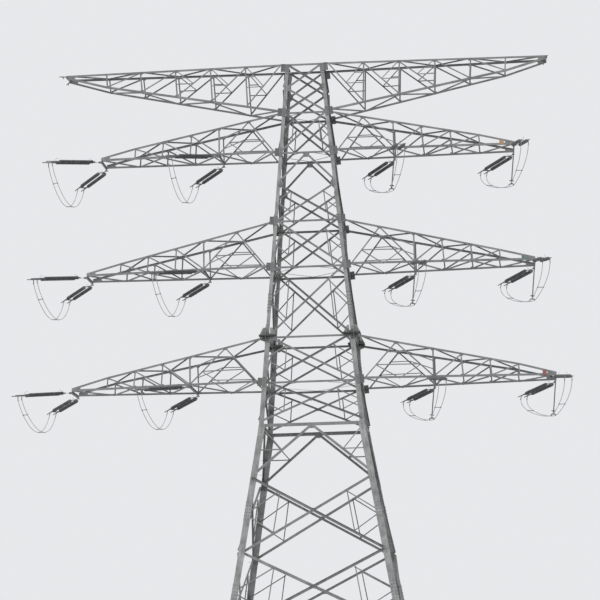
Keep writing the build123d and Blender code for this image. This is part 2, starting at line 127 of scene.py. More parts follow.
def blendColours(tree, kind, factor, first, second):
    node = tree.nodes.new("ShaderNodeMix")
    node.data_type = "RGBA"
    node.blend_type = kind
    node.inputs["Factor"].default_value = factor
    tree.links.new(first, node.inputs["A"])
    tree.links.new(second, node.inputs["B"])
    return node.outputs["Result"]


def bump(tree, height, strength, distance):
    node = tree.nodes.new("ShaderNodeBump")
    node.inputs["Strength"].default_value = strength
    node.inputs["Distance"].default_value = distance
    tree.links.new(height, node.inputs["Height"])
    return node.outputs["Normal"]


def calculate(tree, kind, first, second):
    node = tree.nodes.new("ShaderNodeMath")
    node.operation = kind
    for socket, value in zip(node.inputs, (first, second)):
        if isinstance(value, (int, float)):
            socket.default_value = value
        else:
            tree.links.new(value, socket)
    return node.outputs["Value"]


def addGrain(tree, shader, place, look):
    strength, depth = look["grain"]
    grain = bump(tree, noise(tree, place, look["grainScale"]), strength, depth)
    tree.links.new(grain, shader.inputs["Normal"])


# The plates that carry the crossarms are darker, in a strip just outside each leg: darker zinc patina, with
# painted shade of their bolts and edges
rootPlateStrip = {"start": 0.004, "margin": 0.02}


def besideLeg(tree, place):
    # 1 on that strip and 0 elsewhere
    split = tree.nodes.new("ShaderNodeSeparateXYZ")
    tree.links.new(place, split.inputs["Vector"])
    slope = (halves["waist"] - halves["peak"]) / (levels["peak"] - levels["waist"])
    edge = calculate(tree, "MULTIPLY_ADD", split.outputs["Z"], -slope)
    edge.node.inputs[2].default_value = halves["peak"] + slope * levels["peak"]
    beyond = calculate(tree, "SUBTRACT", calculate(tree, "ABSOLUTE", split.outputs["X"], 0.0), edge)
    outside = calculate(tree, "GREATER_THAN", beyond, rootPlateStrip["start"])
    near = calculate(tree, "LESS_THAN", beyond, gussetWing + rootPlateStrip["margin"])
    return calculate(tree, "MULTIPLY", outside, near)


# What all zinc-coated steel shares: spangle, cloudy weathering, rain streaks and sheen
zinc = {
    "facets": [(0.0, (0.84, 0.85, 0.86)), (1.0, (1.0, 1.0, 1.0))],
    "facetShare": 0.8,
    "cloudStops": (0.3, 0.7),
    "streakScale": 9,
    "streakDetail": 3.0,
    "streakStretch": (1, 1, 0.06),  # long down each piece
    "streaks": [(0.35, (0.74, 0.73, 0.71)), (0.62, (1, 1, 1))],
    "sheenScale": 40,
    "roughness": [(0.3, (0.42,) * 3), (0.7, (0.62,) * 3)],
    "grainScale": 70,
    "grain": (0.25, 0.002),
}


def galvanized(name, look):
    material, tree, shader = newMaterial(name)
    place = tree.nodes.new("ShaderNodeTexCoord").outputs["Object"]
    spangle = tree.nodes.new("ShaderNodeTexVoronoi")
    spangle.inputs["Scale"].default_value = look["spangle"]
    tree.links.new(place, spangle.inputs["Vector"])
    facets = ramp(tree, spangle.outputs["Color"], zinc["facets"])
    tones = list(zip(zinc["cloudStops"], (look["dark"], look["light"])))
    clouds = ramp(tree, noise(tree, place, look["clouds"]), tones)
    rain = noise(tree, place, zinc["streakScale"], zinc["streakDetail"], zinc["streakStretch"])
    colour = blendColours(tree, "MULTIPLY", zinc["facetShare"], clouds, facets)
    colour = blendColours(tree, "MULTIPLY", look["streaks"], colour, ramp(tree, rain, zinc["streaks"]))
    # Darker strip beside the legs: part zinc patina, part painted shade of the root plates' bolts and edges
    if "rootPlatePatinaAndShade" in look:
        shade = ramp(tree, besideLeg(tree, place), [(0.0, (1, 1, 1)), (1.0, (look["rootPlatePatinaAndShade"],) * 3)])
        colour = blendColours(tree, "MULTIPLY", 1.0, colour, shade)
    tree.links.new(colour, shader.inputs["Base Color"])
    sheen = ramp(tree, noise(tree, place, zinc["sheenScale"]), zinc["roughness"])
    tree.links.new(sheen, shader.inputs["Roughness"])
    addGrain(tree, shader, place, zinc)
    shader.inputs["Metallic"].default_value = look["metallic"]
    return material


legSteel = galvanized(
    "legGalvanizedSteel",
    {
        "dark": (0.212, 0.212, 0.211),
        "light": (0.382, 0.381, 0.379),
        "spangle": 55,
        "clouds": 2.2,
        "streaks": 0.65,
        "metallic": 0.05,
    },
)
bracingSteel = galvanized(
    "bracingGalvanizedSteel",
    {
        "dark": (0.170, 0.170, 0.170),
        "light": (0.275, 0.275, 0.274),
        "spangle": 70,
        "clouds": 1.1,
        "streaks": 0.6,
        "metallic": 0.05,
        # darkening of the root plates: part zinc patina, part painted shade
        "rootPlatePatinaAndShade": 0.62,
    },
)
boltSteel = galvanized(
    "boltSteel",
    {
        "dark": (0.12, 0.12, 0.12),
        "light": (0.22, 0.22, 0.22),
        "spangle": 150,
        "clouds": 4,
        "streaks": 0.3,
        "metallic": 0.5,
    },
)
# Near-black steel for the flange plates of the legs: painted shade, for the shadow under and between them
paintedShadeSteel = galvanized(
    "paintedShadePlateSteel",
    {
        "dark": (0.035, 0.033, 0.031),
        "light": (0.085, 0.082, 0.078),
        "spangle": 60,
        "clouds": 6,
        "streaks": 0.7,
        "metallic": 0.15,
    },
)
forgedSteel = galvanized(
    "forgedSteel",
    {
        "dark": (0.13, 0.135, 0.14),
        "light": (0.22, 0.225, 0.23),
        "spangle": 120,
        "clouds": 5,
        "streaks": 0.3,
        "metallic": 0.45,
    },
)

rubberLook = {
    "dustScale": 5,
    "dustDetail": 5.0,
    "dust": [(0.3, (0.105, 0.106, 0.111)), (0.55, (0.145, 0.146, 0.151)), (0.8, (0.195, 0.196, 0.200))],
    "grainScale": 90,
    "grain": (0.15, 0.001),
    "roughness": 0.55,
}


def siliconeRubber():
    material, tree, shader = newMaterial("siliconeRubber")
    place = tree.nodes.new("ShaderNodeTexCoord").outputs["Object"]
    dust = noise(tree, place, rubberLook["dustScale"], rubberLook["dustDetail"])
    tree.links.new(ramp(tree, dust, rubberLook["dust"]), shader.inputs["Base Color"])
    addGrain(tree, shader, place, rubberLook)
    shader.inputs["Roughness"].default_value = rubberLook["roughness"]
    return material


aluminiumLook = {
    "toneScale": 6,
    "toneDetail": 4.0,
    "toneStretch": (30, 1, 1),
    "tones": [(0.3, (0.42, 0.42, 0.43)), (0.7, (0.58, 0.58, 0.59))],
    "strandScale": 7,
    "strandStretch": (25, 1, 1),
    # Darker grooves between the strands: painted shade
    "grooveShade": [(0.0, (0.72, 0.72, 0.72)), (0.6, (1, 1, 1))],
    "grooveShadeShare": 0.8,
    "relief": (0.5, 0.002),
    "metallic": 0.5,
    "roughness": 0.5,
}


def strandedAluminium():
    material, tree, shader = newMaterial("strandedAluminium")
    look = aluminiumLook
    place = tree.nodes.new("ShaderNodeTexCoord").outputs["UV"]
    patches = noise(tree, place, look["toneScale"], look["toneDetail"], look["toneStretch"])
    strands = tree.nodes.new("ShaderNodeTexWave")
    strands.wave_type = "BANDS"
    strands.bands_direction = "DIAGONAL"
    strands.inputs["Scale"].default_value = look["strandScale"]
    tree.links.new(stretched(tree, place, look["strandStretch"]), strands.inputs["Vector"])
    tone = ramp(tree, patches, look["tones"])
    # The grooves between the strands are darkened: painted shade
    grooveShade = ramp(tree, strands.outputs["Fac"], look["grooveShade"])
    tree.links.new(blendColours(tree, "MULTIPLY", look["grooveShadeShare"], tone, grooveShade), shader.inputs["Base Color"])
    strength, depth = look["relief"]
    tree.links.new(bump(tree, strands.outputs["Fac"], strength, depth), shader.inputs["Normal"])
    shader.inputs["Metallic"].default_value = look["metallic"]
    shader.inputs["Roughness"].default_value = look["roughness"]
    return material


paintLook = {
    "wearScale": 9,
    "wearDetail": 6.0,
    "wearStops": (0.35, 0.6),
    "grainScale": 60,
    "grain": (0.2, 0.001),
    "roughness": 0.5,
}


def platePaint(name, fresh, worn):
    material, tree, shader = newMaterial(name)
    place = tree.nodes.new("ShaderNodeTexCoord").outputs["Object"]
    wear = noise(tree, place, paintLook["wearScale"], paintLook["wearDetail"])
    colour = ramp(tree, wear, list(zip(paintLook["wearStops"], (worn, fresh))))
    tree.links.new(colour, shader.inputs["Base Color"])
    addGrain(tree, shader, place, paintLook)
    shader.inputs["Roughness"].default_value = paintLook["roughness"]
    return material


rubber = siliconeRubber()
aluminium = strandedAluminium()
print("stage 2: camera and materials")


# Mesh helpers, with every piece in metres in the tower's own frame
east = Vector((1, 0, 0))
north = Vector((0, 1, 0))
up = Vector((0, 0, 1))


def placePiece(piece, replaced):
    bpy.context.scene.collection.objects.link(piece)
    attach(piece, "root")
    if replaced:
        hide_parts(*replaced)


def finishPiece(mesh, name, material, replaced=()):
    bmesh.ops.recalc_face_normals(mesh, faces=mesh.faces)
    data = bpy.data.meshes.new(name)
    mesh.to_mesh(data)
    mesh.free()
    data.materials.append(material)
    placePiece(bpy.data.objects.new(name, data), replaced)


def addPrism(mesh, outline, push):
    near = [mesh.verts.new(point) for point in outline]
    far = [mesh.verts.new(point + push) for point in outline]
    mesh.faces.new(near[::-1])
    mesh.faces.new(far)
    for index in range(len(near)):
        after = (index + 1) % len(near)
        mesh.faces.new((near[index], near[after], far[after], far[index]))


def unitAcross(vector, axis):
    return (vector - axis * vector.dot(axis)).normalized()


def addAngle(mesh, start, end, towardA, towardB, width, thick):
    axis = (end - start).normalized()
    a = unitAcross(towardA, axis)
    b = unitAcross(towardB, axis)
    sine = a.cross(b).length
    offsets = (
        Vector(),
        a * width,
        a * width + unitAcross(b, a) * thick,
        (a + b) * (thick / sine),
        b * width + unitAcross(a, b) * thick,
        b * width,
    )
    addPrism(mesh, [start + offset for offset in offsets], end - start)


def addBar(mesh, start, end, side, width, depth, shift=(0, 0)):
    axis = (end - start).normalized()
    across = unitAcross(side, axis)
    deep = axis.cross(across)
    corners = ((-1, -1), (1, -1), (1, 1), (-1, 1))
    base = start + across * shift[0] + deep * shift[1]
    addPrism(
        mesh,
        [base + across * (i * width / 2) + deep * (j * depth / 2) for i, j in corners],
        end - start,
    )


def addRing(mesh, centre, a, b, radius, count):
    ring = []
    for index in range(count):
        swing = 2 * math.pi * index / count
        ring.append(mesh.verts.new(centre + a * (radius * math.cos(swing)) + b * (radius * math.sin(swing))))
    return ring


sides = {"wire": 6, "hexagon": 6, "pin": 8, "clamp": 10, "body": 12}  # of turned pieces, by their size


def mirrored(shape):
    # A closed outline from its half, as (along, across) pairs
    return [(i, -j) for i, j in shape] + list(shape[::-1])


def addPlate(mesh, base, along, across, push, shape):
    addPrism(mesh, [base + along * i + across * j for i, j in shape], push)


def skinRings(mesh, rings, closed=False):
    # Sides between neighbouring rings, with flat ends unless the rings close up
    after = rings[1:] + rings[:1] if closed else rings[1:]
    for low, high in zip(rings, after):
        for index in range(len(low)):
            other = (index + 1) % len(low)
            mesh.faces.new((low[index], low[other], high[other], high[index]))
    if not closed:
        mesh.faces.new(rings[0][::-1])
        mesh.faces.new(rings[-1])


def addTurned(mesh, start, axis, profile, count):
    # Turned solid along an axis, from (distance, radius) pairs
    a = axis.orthogonal().normalized()
    b = axis.cross(a).normalized()
    skinRings(mesh, [addRing(mesh, start + axis * along, a, b, radius, count) for along, radius in profile])


def addPin(mesh, centre, axis, radius, length):
    addTurned(mesh, centre, axis, ((-length / 2, radius), (length / 2, radius)), sides["pin"])


def addTube(mesh, points, radius):
    # Round bar bent along a line of points
    rings = []
    a = None
    for index, point in enumerate(points):
        before = points[max(index - 1, 0)]
        after = points[min(index + 1, len(points) - 1)]
        axis = (after - before).normalized()
        a = axis.orthogonal().normalized() if a is None else unitAcross(a, axis)
        rings.append(addRing(mesh, point, a, axis.cross(a), radius, sides["wire"]))
    skinRings(mesh, rings)


# A bolt's washer and chamfered hexagon head, as shares of the head's radius
boltShape = {"washer": 1.35, "height": 0.8, "chamferAt": 0.8, "chamfer": 0.86}
washer = {"thick": 0.004, "sunk": 0.001}


def addBolt(mesh, seat, normal, size):
    radius = size * boltShape["washer"]
    height = size * boltShape["height"]
    top = washer["thick"] - washer["sunk"]
    addTurned(mesh, seat, normal, ((-washer["sunk"], radius), (top, radius)), sides["pin"])
    head = ((0, size), (height * boltShape["chamferAt"], size), (height, size * boltShape["chamfer"]))
    addTurned(mesh, seat + normal * top, normal, head, sides["hexagon"])


def spread(mesh, turns):
    # Copies of everything in a mesh by matrices, beside the original
    source = mesh.verts[:] + mesh.edges[:] + mesh.faces[:]
    for turn in turns:
        copy = bmesh.ops.duplicate(mesh, geom=source)["geom"]
        moved = [item for item in copy if isinstance(item, bmesh.types.BMVert)]
        bmesh.ops.transform(mesh, matrix=turn, verts=moved)


quarterTurns = [Matrix.Rotation(math.radians(angle), 4, "Z") for angle in (90, 180, 270)]
flipX = Matrix.Diagonal((-1, 1, 1, 1))
flipY = Matrix.Diagonal((1, -1, 1, 1))
allArms = [flipX, flipY, flipX @ flipY]

# The tower's own sections and arms, as the source has them
sections = {
    "upperLeg": (0.190, 0.024),
    "middleLeg": (0.260, 0.024),
    "lowerLeg": (0.340, 0.028),
    "upperBrace": (0.110, 0.012),
    "lowerBrace": (0.140, 0.012),
    "beam": (0.110, 0.012),
    "chord": (0.110, 0.012),
    "web": (0.075, 0.008),
    "plan": (0.070, 0.008),
    "clearance": 0.010,
}
armLevel = {1: levels["shoulder"], 2: levels["arm2"], 3: 24.4, 4: 18.0}
armRoot = {1: levels["peak"], 2: levels["shoulder"], 3: 27.0, 4: levels["legStep"]}
armKinkLevel = {1: 35.15, 2: 31.55, 3: 25.05, 4: 18.7}
armReach = {1: 13.5, 2: 11.5, 3: 12.4, 4: 13.3}
armKinkReach = {1: 11.2, 2: 9.6, 3: 10.5, 4: 11.3}
armInnerReach = {2: 4.85, 3: 5.8, 4: 6.65}
armTipHalf = {1: 0.52, 2: 1.1, 3: 1.15, 4: 1.25}
armTipHeight = 0.18


def half(level):
    if level >= levels["waist"]:
        share = (level - levels["waist"]) / (levels["peak"] - levels["waist"])
        return halves["waist"] + share * (halves["peak"] - halves["waist"])
    return halves["foot"] + level / levels["waist"] * (halves["waist"] - halves["foot"])


def facePoint(side, level, inset=0.0):
    return Vector((side * (half(level) - inset), -half(level), level))


def faceNormal(low, high):
    return east.cross(facePoint(0, high) - facePoint(0, low)).normalized()


def legSize(low):
    if low >= levels["legStep"]:
        return sections["upperLeg"]
    return sections["middleLeg"] if low >= levels["waist"] else sections["lowerLeg"]


def braceSize(low):
    return sections["upperBrace"] if low >= levels["waist"] else sections["lowerBrace"]


def zigzagCorners(path, outward, width):
    # Corners of a strip between chords, from (point, chord direction, gap) stops
    corners = []
    for index, (point, chord, gap) in enumerate(path):
        near = [path[i][0] for i in (index - 1, index + 1) if 0 <= i < len(path)]
        rays = [(other - point).normalized() for other in near]
        run = chord.normalized()
        if len(rays) == 2:
            middle = (rays[0] + rays[1]).normalized()
            mitre = width / 2 / math.sin(rays[0].angle(rays[1]) / 2)
            slant = abs(middle.dot(outward.cross(run)))
            corners.append(point + middle * (mitre + gap / slant))
        else:
            cosine = abs(rays[0].dot(run))
            sine = math.sqrt(1 - cosine * cosine)
            corners.append(point + rays[0] * ((gap + width / 2 * cosine) / sine))
    return corners


def legStop(side, level, low, high):
    gap = legSize(low)[1] + braceSize(low)[1] + sections["clearance"]
    return facePoint(side, level), facePoint(side, high) - facePoint(side, low), gap


def middleStop(level):
    return facePoint(0, level), east, sections["beam"][1] + sections["clearance"]


def crossPaths(steps):
    # The two zigzags of a group of X panels, each with whether it lies in front
    low, high = steps[-1], steps[0]
    return [
        ([legStop(sense * (-1) ** i, level, low, high) for i, level in enumerate(steps)], outside)
        for sense, outside in ((1, False), (-1, True))
    ]


def vPath(high, low):
    return [legStop(-1, low, low, high), middleStop(high), legStop(1, low, low, high)]


upperSteps = (levels["peak"], levels["topBay"], levels["shoulder"], levels["arm2"])
middleSteps = (
    levels["braceFoot"],
    armRoot[3],
    armLevel[3],
    armRoot[4],
    armLevel[4],
    levels["waist"] + waistGap,
)
lowerSteps = (levels["knee"], levels["lowerCross"], levels["footCross"])

# Standing legs of the bracing angles, and two bolts at each end of them
bodyDetail = {
    "flange": 0.080,
    "flangeThick": 0.009,
    "trim": 0.13,
    "trimShare": 0.2,  # at most, of a short bar
    "bolt": 0.019,
    "boltSteps": (0.06, 0.12),
    "boltAside": 0.12,  # share of the bar's width
}


def addStanding(mesh, start, end, trim, thin, tall):
    # Upright strip along a bar, short of both of its ends
    step = (end - start).normalized() * trim
    base = start + step
    addPrism(mesh, [base - thin, base + thin, base + thin + tall, base - thin + tall], end - step - base)


def addEndBolts(bolts, start, end, seat, normal, detail):
    axis = (end - start).normalized()
    for spot, way in ((start, axis), (end, -axis)):
        for step in detail["boltSteps"]:
            addBolt(bolts, spot + way * step + seat, normal, detail["bolt"])


def addFlanges(mesh, bolts, corners, outward, size, depth, outside, detail):
    width, thick = size
    away = outward if outside else -outward
    for start, end in zip(corners, corners[1:]):
        edge = outward.cross((end - start).normalized()).normalized()
        if edge.z < 0:
            edge = -edge
        seat = away * (depth + thick)
        thin = edge * (detail["flangeThick"] / 2)
        shift = seat + edge * (width / 2) - thin
        trim = min(detail["trim"], (end - start).length * detail["trimShare"])
        addStanding(mesh, start + shift, end + shift, trim, thin, away * detail["flange"])
        addEndBolts(bolts, start, end, seat - edge * (width * detail["boltAside"]), away, detail)


def bodyFace(low, high, groups, vees):
    mesh = bmesh.new()
    bolts = bmesh.new()
    size = braceSize(low)
    normal = faceNormal(low, high)
    for steps in groups:
        depth = legSize(steps[-1])[1]
        for path, outside in crossPaths(steps):
            corners = zigzagCorners(path, normal, size[0])
            addFlanges(mesh, bolts, corners, normal, size, 0 if outside else depth, outside, bodyDetail)
    for top, foot in vees:
        corners = zigzagCorners(vPath(top, foot), normal, size[0])
        addFlanges(mesh, bolts, corners, normal, size, legSize(foot)[1], False, bodyDetail)
    return mesh, bolts, normal


upperFlanges, upperBolts, upperNormal = bodyFace(
    levels["waist"],
    levels["peak"],
    (upperSteps, middleSteps),
    ((levels["arm2"], levels["braceFoot"]),),
)
lowerFlanges, lowerBolts, lowerNormal = bodyFace(
    levels["footBrace"],
    levels["waist"],
    (lowerSteps,),
    ((levels["waist"], levels["knee"]),),
)
footBarGap = 0.06
size = sections["lowerBrace"]
depth = sections["lowerLeg"][1]
for side in (-1, 1):
    foot, _, gap = legStop(side, levels["footBrace"], levels["footBrace"], levels["footCross"])
    edge = facePoint(0, levels["footCross"]) + unitAcross(-up, lowerNormal) * sections["beam"][0]
    top = edge + east * (side * size[0])
    run = (top - foot).normalized()
    ends = [foot + run * (gap + size[0]), top - run * footBarGap]
    addFlanges(lowerFlanges, lowerBolts, ends, lowerNormal, size, depth, False, bodyDetail)

# Redundant bars inside the panels, thinner than the main bracing
redundant = {
    "width": 0.060,
    "thick": 0.006,
    "behind": 0.036,  # the outer face of the body
    "share": 0.46,  # of the way from a leg to the crossing
    "inLeg": 0.06,
    "underBeam": 0.1,
}
veePanels = (
    (levels["waist"], levels["knee"], (0.5,)),
    (levels["footCross"], levels["footBrace"], (0.33, 0.66)),
)


def addRedundant(mesh, start, end, outward, detail):
    edge = outward.cross((end - start).normalized()).normalized()
    base = -outward * detail["behind"]
    addAngle(mesh, start + base, end + base, edge, -outward, detail["width"], detail["thick"])


def addPanelRedundants(mesh, top, foot, normal):
    # In each side triangle of an X panel: two bars from the leg and one between the diagonals
    crossing = foot + (top - foot) * half(foot) / (half(foot) + half(top))
    middle = facePoint(0, crossing)
    for side in (-1, 1):
        high = facePoint(side, top).lerp(middle, redundant["share"])
        low = facePoint(side, foot).lerp(middle, redundant["share"])
        leg = facePoint(side, (top + foot) / 2, redundant["inLeg"])
        for start, end in ((leg, high), (leg, low), (high, low)):
            addRedundant(mesh, start, end, normal, redundant)


upperRedundants = bmesh.new()
for steps in (upperSteps[2:], middleSteps):
    for top, foot in zip(steps, steps[1:]):
        addPanelRedundants(upperRedundants, top, foot, upperNormal)
lowerRedundants = bmesh.new()
for top, foot in zip(lowerSteps, lowerSteps[1:]):
    addPanelRedundants(lowerRedundants, top, foot, lowerNormal)
for top, foot, shares in veePanels:
    for side in (-1, 1):
        previous = facePoint(side, top - redundant["underBeam"], redundant["inLeg"])
        for share in shares:
            onV = facePoint(0, top).lerp(facePoint(side, foot), share)
            onLeg = facePoint(side, onV.z, redundant["inLeg"])
            addRedundant(lowerRedundants, onLeg, onV, lowerNormal, redundant)
            addRedundant(lowerRedundants, previous, onV, lowerNormal, redundant)
            previous = onLeg
for mesh in (upperFlanges, upperBolts, lowerFlanges, lowerBolts, upperRedundants, lowerRedundants):
    spread(mesh, quarterTurns)
print("stage 3: body bracing details")

# Joint plates at the panel corners and at the middles of the beams
jointBolt = 0.020
plates = bmesh.new()
plateBolts = bmesh.new()
jointPlate = {
    "reach": 0.34,
    "height": 0.46,
    "thick": 0.010,
    "gap": 0.001,
    "besideLeg": 0.012,
    "pastLeg": 0.02,
    "tipShare": 0.4,
    "boltColumn": 0.55,
    "boltRows": (-0.36, -0.12, 0.12, 0.36),
    "overFoot": 0.1,
    "underWaist": 0.28,
}
middlePlate = {"width": 0.42, "height": 0.30, "drop": 0.02}


def addCornerPlate(side, level, low, high):
    width, thick = legSize(level)
    normal = faceNormal(low, high)
    axis = (facePoint(side, high) - facePoint(side, low)).normalized()
    inward = unitAcross(east * -side, axis)
    base = facePoint(side, level) - normal * (thick + jointPlate["gap"] + jointPlate["thick"])
    tall = jointPlate["height"] / 2
    shape = (
        (thick + jointPlate["besideLeg"], tall),
        (width + jointPlate["pastLeg"], tall),
        (jointPlate["reach"], tall * jointPlate["tipShare"]),
    )
    addPlate(plates, base, inward, axis, normal * jointPlate["thick"], mirrored(shape))
    column = facePoint(side, level) + inward * (width * jointPlate["boltColumn"])
    for row in jointPlate["boltRows"]:
        addBolt(plateBolts, column + axis * (jointPlate["height"] * row), normal, jointBolt)


def addMiddlePlate(level, low, high):
    normal = faceNormal(low, high)
    drop = unitAcross(-up, normal)
    depth = legSize(low)[1] + braceSize(low)[1] + jointPlate["gap"] + jointPlate["thick"]
    top = facePoint(0, level) - normal * depth + drop * middlePlate["drop"]
    shape = ((0, middlePlate["width"] / 2), (middlePlate["height"], middlePlate["width"] / 4))
    addPlate(plates, top, drop, east, normal * jointPlate["thick"], mirrored(shape))


upperSpan = (levels["waist"], levels["peak"])
lowerSpan = (levels["footBrace"], levels["waist"])
lowerCorners = (
    levels["knee"],
    levels["lowerCross"],
    levels["footCross"],
    levels["footBrace"] + jointPlate["overFoot"],
    levels["waist"] - jointPlate["underWaist"],
)
for side in (-1, 1):
    for level in (levels["topBay"], levels["braceFoot"]):
        addCornerPlate(side, level, *upperSpan)
    for level in lowerCorners:
        addCornerPlate(side, level, *lowerSpan)
addMiddlePlate(levels["arm2"], *upperSpan)
addMiddlePlate(levels["waist"], *lowerSpan)
addMiddlePlate(levels["footCross"], *lowerSpan)
spread(plates, quarterTurns)
spread(plateBolts, quarterTurns)

# Bolt rows on the bent plates that carry the crossarms, front and back only
rootBolts = bmesh.new()
rootPlate = {
    "thick": 0.012,
    "columns": (0.055, 0.135),  # in from the edge of the leg
    "rows": (-0.24, -0.12, 0.0, 0.12, 0.24),
    "peakDrop": 0.32,  # the top rows sit lower, under the peak
}
axis = (facePoint(1, levels["peak"]) - facePoint(1, levels["waist"])).normalized()
rootLevels = [levels["peak"]]
for number in (2, 3, 4):
    rootLevels += [armLevel[number], armRoot[number]]
for level in rootLevels:
    drop = rootPlate["peakDrop"] if level == levels["peak"] else 0.0
    for column in rootPlate["columns"]:
        for row in rootPlate["rows"]:
            seat = facePoint(1, level) + axis * (row - drop) - unitAcross(east, axis) * column
            addBolt(rootBolts, seat + upperNormal * rootPlate["thick"], upperNormal, jointBolt)
spread(rootBolts, allArms)

# Splices of the leg angles
splices = bmesh.new()
spliceBolts = bmesh.new()
splice = {
    "levels": (6.6, 11.0, 22.4),
    "length": 1.1,
    "thick": 0.014,
    "edge": 0.01,
    "rows": 6,
    "columns": (0.3, 0.72),
}
for level in splice["levels"]:
    low, high = (levels["waist"], levels["peak"]) if level > levels["waist"] else (0.0, levels["waist"])
    width = legSize(level)[0]
    axis = (facePoint(1, high) - facePoint(1, low)).normalized()
    heel = facePoint(1, level) - axis * (splice["length"] / 2)
    normal = faceNormal(low, high)
    sideNormal = Matrix.Rotation(math.radians(90), 3, "Z") @ normal
    for run, face in ((unitAcross(-east, axis), normal), (unitAcross(north, axis), sideNormal)):
        edges = (splice["edge"], width - splice["edge"])
        shape = [(edges[0], 0), (edges[1], 0), (edges[1], splice["thick"]), (edges[0], splice["thick"])]
        addPlate(splices, heel, run, face, axis * splice["length"], shape)
        for row in range(splice["rows"]):
            along = axis * (splice["length"] * (row + 0.5) / splice["rows"])
            for column in splice["columns"]:
                seat = heel + along + run * (width * column) + face * splice["thick"]
                addBolt(spliceBolts, seat, face, jointBolt)

# Flange joints where the legs narrow, with trapezoid stiffeners over and under the plates
flangePlates = bmesh.new()
flangeJoints = bmesh.new()
flangeBolts = bmesh.new()
flangeJoint = {
    "level": levels["legStep"],
    "plate": 0.036,
    "split": 0.002,  # between the upper and lower plate
    "reach": 0.34,  # past the leg on every side
    "rise": 0.42,
    "fall": 0.26,
    "crown": 0.13,  # level top of a stiffener
    "lip": 0.05,  # its height at the outer end
    "margin": 0.02,
    "aside": 0.004,
    "thick": 0.018,
    "bolt": 0.024,
    "boltsInside": (0.20, 0.09),
    "boltsOutside": (0.10, 0.22),
    "boltsAcross": (0.16, -0.12),
}
width = sections["middleLeg"][0]
heel = facePoint(1, flangeJoint["level"])
outer, inner = flangeJoint["reach"], width + flangeJoint["reach"]
square = ((-inner, inner), (outer, inner), (outer, -outer), (-inner, -outer))
for low in (0.0, flangeJoint["plate"] + flangeJoint["split"]):
    addPlate(flangePlates, heel + up * low, east, north, up * flangeJoint["plate"], square)
over = heel + up * (2 * flangeJoint["plate"] + flangeJoint["split"])
boltsAlong = [-width - step for step in flangeJoint["boltsInside"]] + list(flangeJoint["boltsOutside"])
for away, across in ((east, north), (-north, -east)):
    for start, way in ((0.0, away), (-width, -away)):
        for base, tall in ((over, flangeJoint["rise"]), (heel, -flangeJoint["fall"])):
            foot = base + across * flangeJoint["aside"] + away * start
            far = flangeJoint["reach"] - flangeJoint["margin"]
            lip = math.copysign(flangeJoint["lip"], tall)
            shape = ((0, 0), (far, 0), (far, lip), (flangeJoint["crown"], tall), (0, tall))
            addPlate(flangeJoints, foot, way, up, across * flangeJoint["thick"], shape)
    for along in boltsAlong:
        for place in flangeJoint["boltsAcross"]:
            addBolt(flangeBolts, over + away * along + across * place, up, flangeJoint["bolt"])

# Step bolts up one leg, on its two sides in turn
stepBolts = bmesh.new()
stepBolt = {
    "first": 3.0,
    "gap": 0.40,
    "belowPeak": 0.5,
    "inset": 0.8,  # share of the leg's width
    "shank": ((-0.03, 0.009), (0.15, 0.009), (0.151, 0.016), (0.162, 0.016)),
    "nut": ((-0.001, 0.018), (0.014, 0.018)),
}
level = stepBolt["first"]
count = 0
while level < levels["peak"] - stepBolt["belowPeak"]:
    inset = legSize(level)[0] * stepBolt["inset"]
    heel = Vector((-half(level), half(level), level))
    seat, away = (heel + east * inset, north) if count % 2 else (heel - north * inset, -east)
    addTurned(stepBolts, seat, away, stepBolt["shank"], sides["pin"])
    addTurned(stepBolts, seat, away, stepBolt["nut"], sides["hexagon"])
    level += stepBolt["gap"]
    count += 1

# Foot of each leg: stiffeners on the base plate and the nuts of the anchor bolts
feet = bmesh.new()
nuts = bmesh.new()
legFoot = {
    "plateTop": 0.040,
    "spacing": 0.25,
    "ribs": (0.06, 0.24),
    "ribThick": 0.016,
    "ribGap": 0.002,
    "ribShape": ((0, 0), (0.17, 0), (0.17, 0.05), (-0.05, 0.30)),
}
anchorBolt = {  # height of its foot, (distance, radius) pairs and number of sides
    "washer": (0.0, ((-0.001, 0.052), (0.008, 0.052)), 16),
    "nut": (0.008, ((0, 0.043), (0.036, 0.043), (0.040, 0.038)), 6),
    "lockNut": (0.045, ((0, 0.043), (0.028, 0.043), (0.032, 0.038)), 6),
    "end": (0.07, ((0, 0.024), (0.070, 0.024), (0.076, 0.020)), 12),
}
heel = facePoint(1, legFoot["plateTop"])
middle = heel + (north - east) * (sections["lowerLeg"][0] / 2)
for i in (-1, 1):
    for j in (-1, 1):
        spot = middle + (east * i + north * j) * legFoot["spacing"]
        for height, profile, count in anchorBolt.values():
            addTurned(nuts, spot + up * height, up, profile, count)
for away, along in ((-north, -east), (east, north)):
    for step in legFoot["ribs"]:
        base = heel + along * step + away * legFoot["ribGap"]
        addPlate(feet, base, away, up, along * legFoot["ribThick"], legFoot["ribShape"])
for mesh in (splices, spliceBolts, flangePlates, flangeJoints, flangeBolts, feet, nuts):
    spread(mesh, allArms)
print("stage 4: plates, splices and feet")

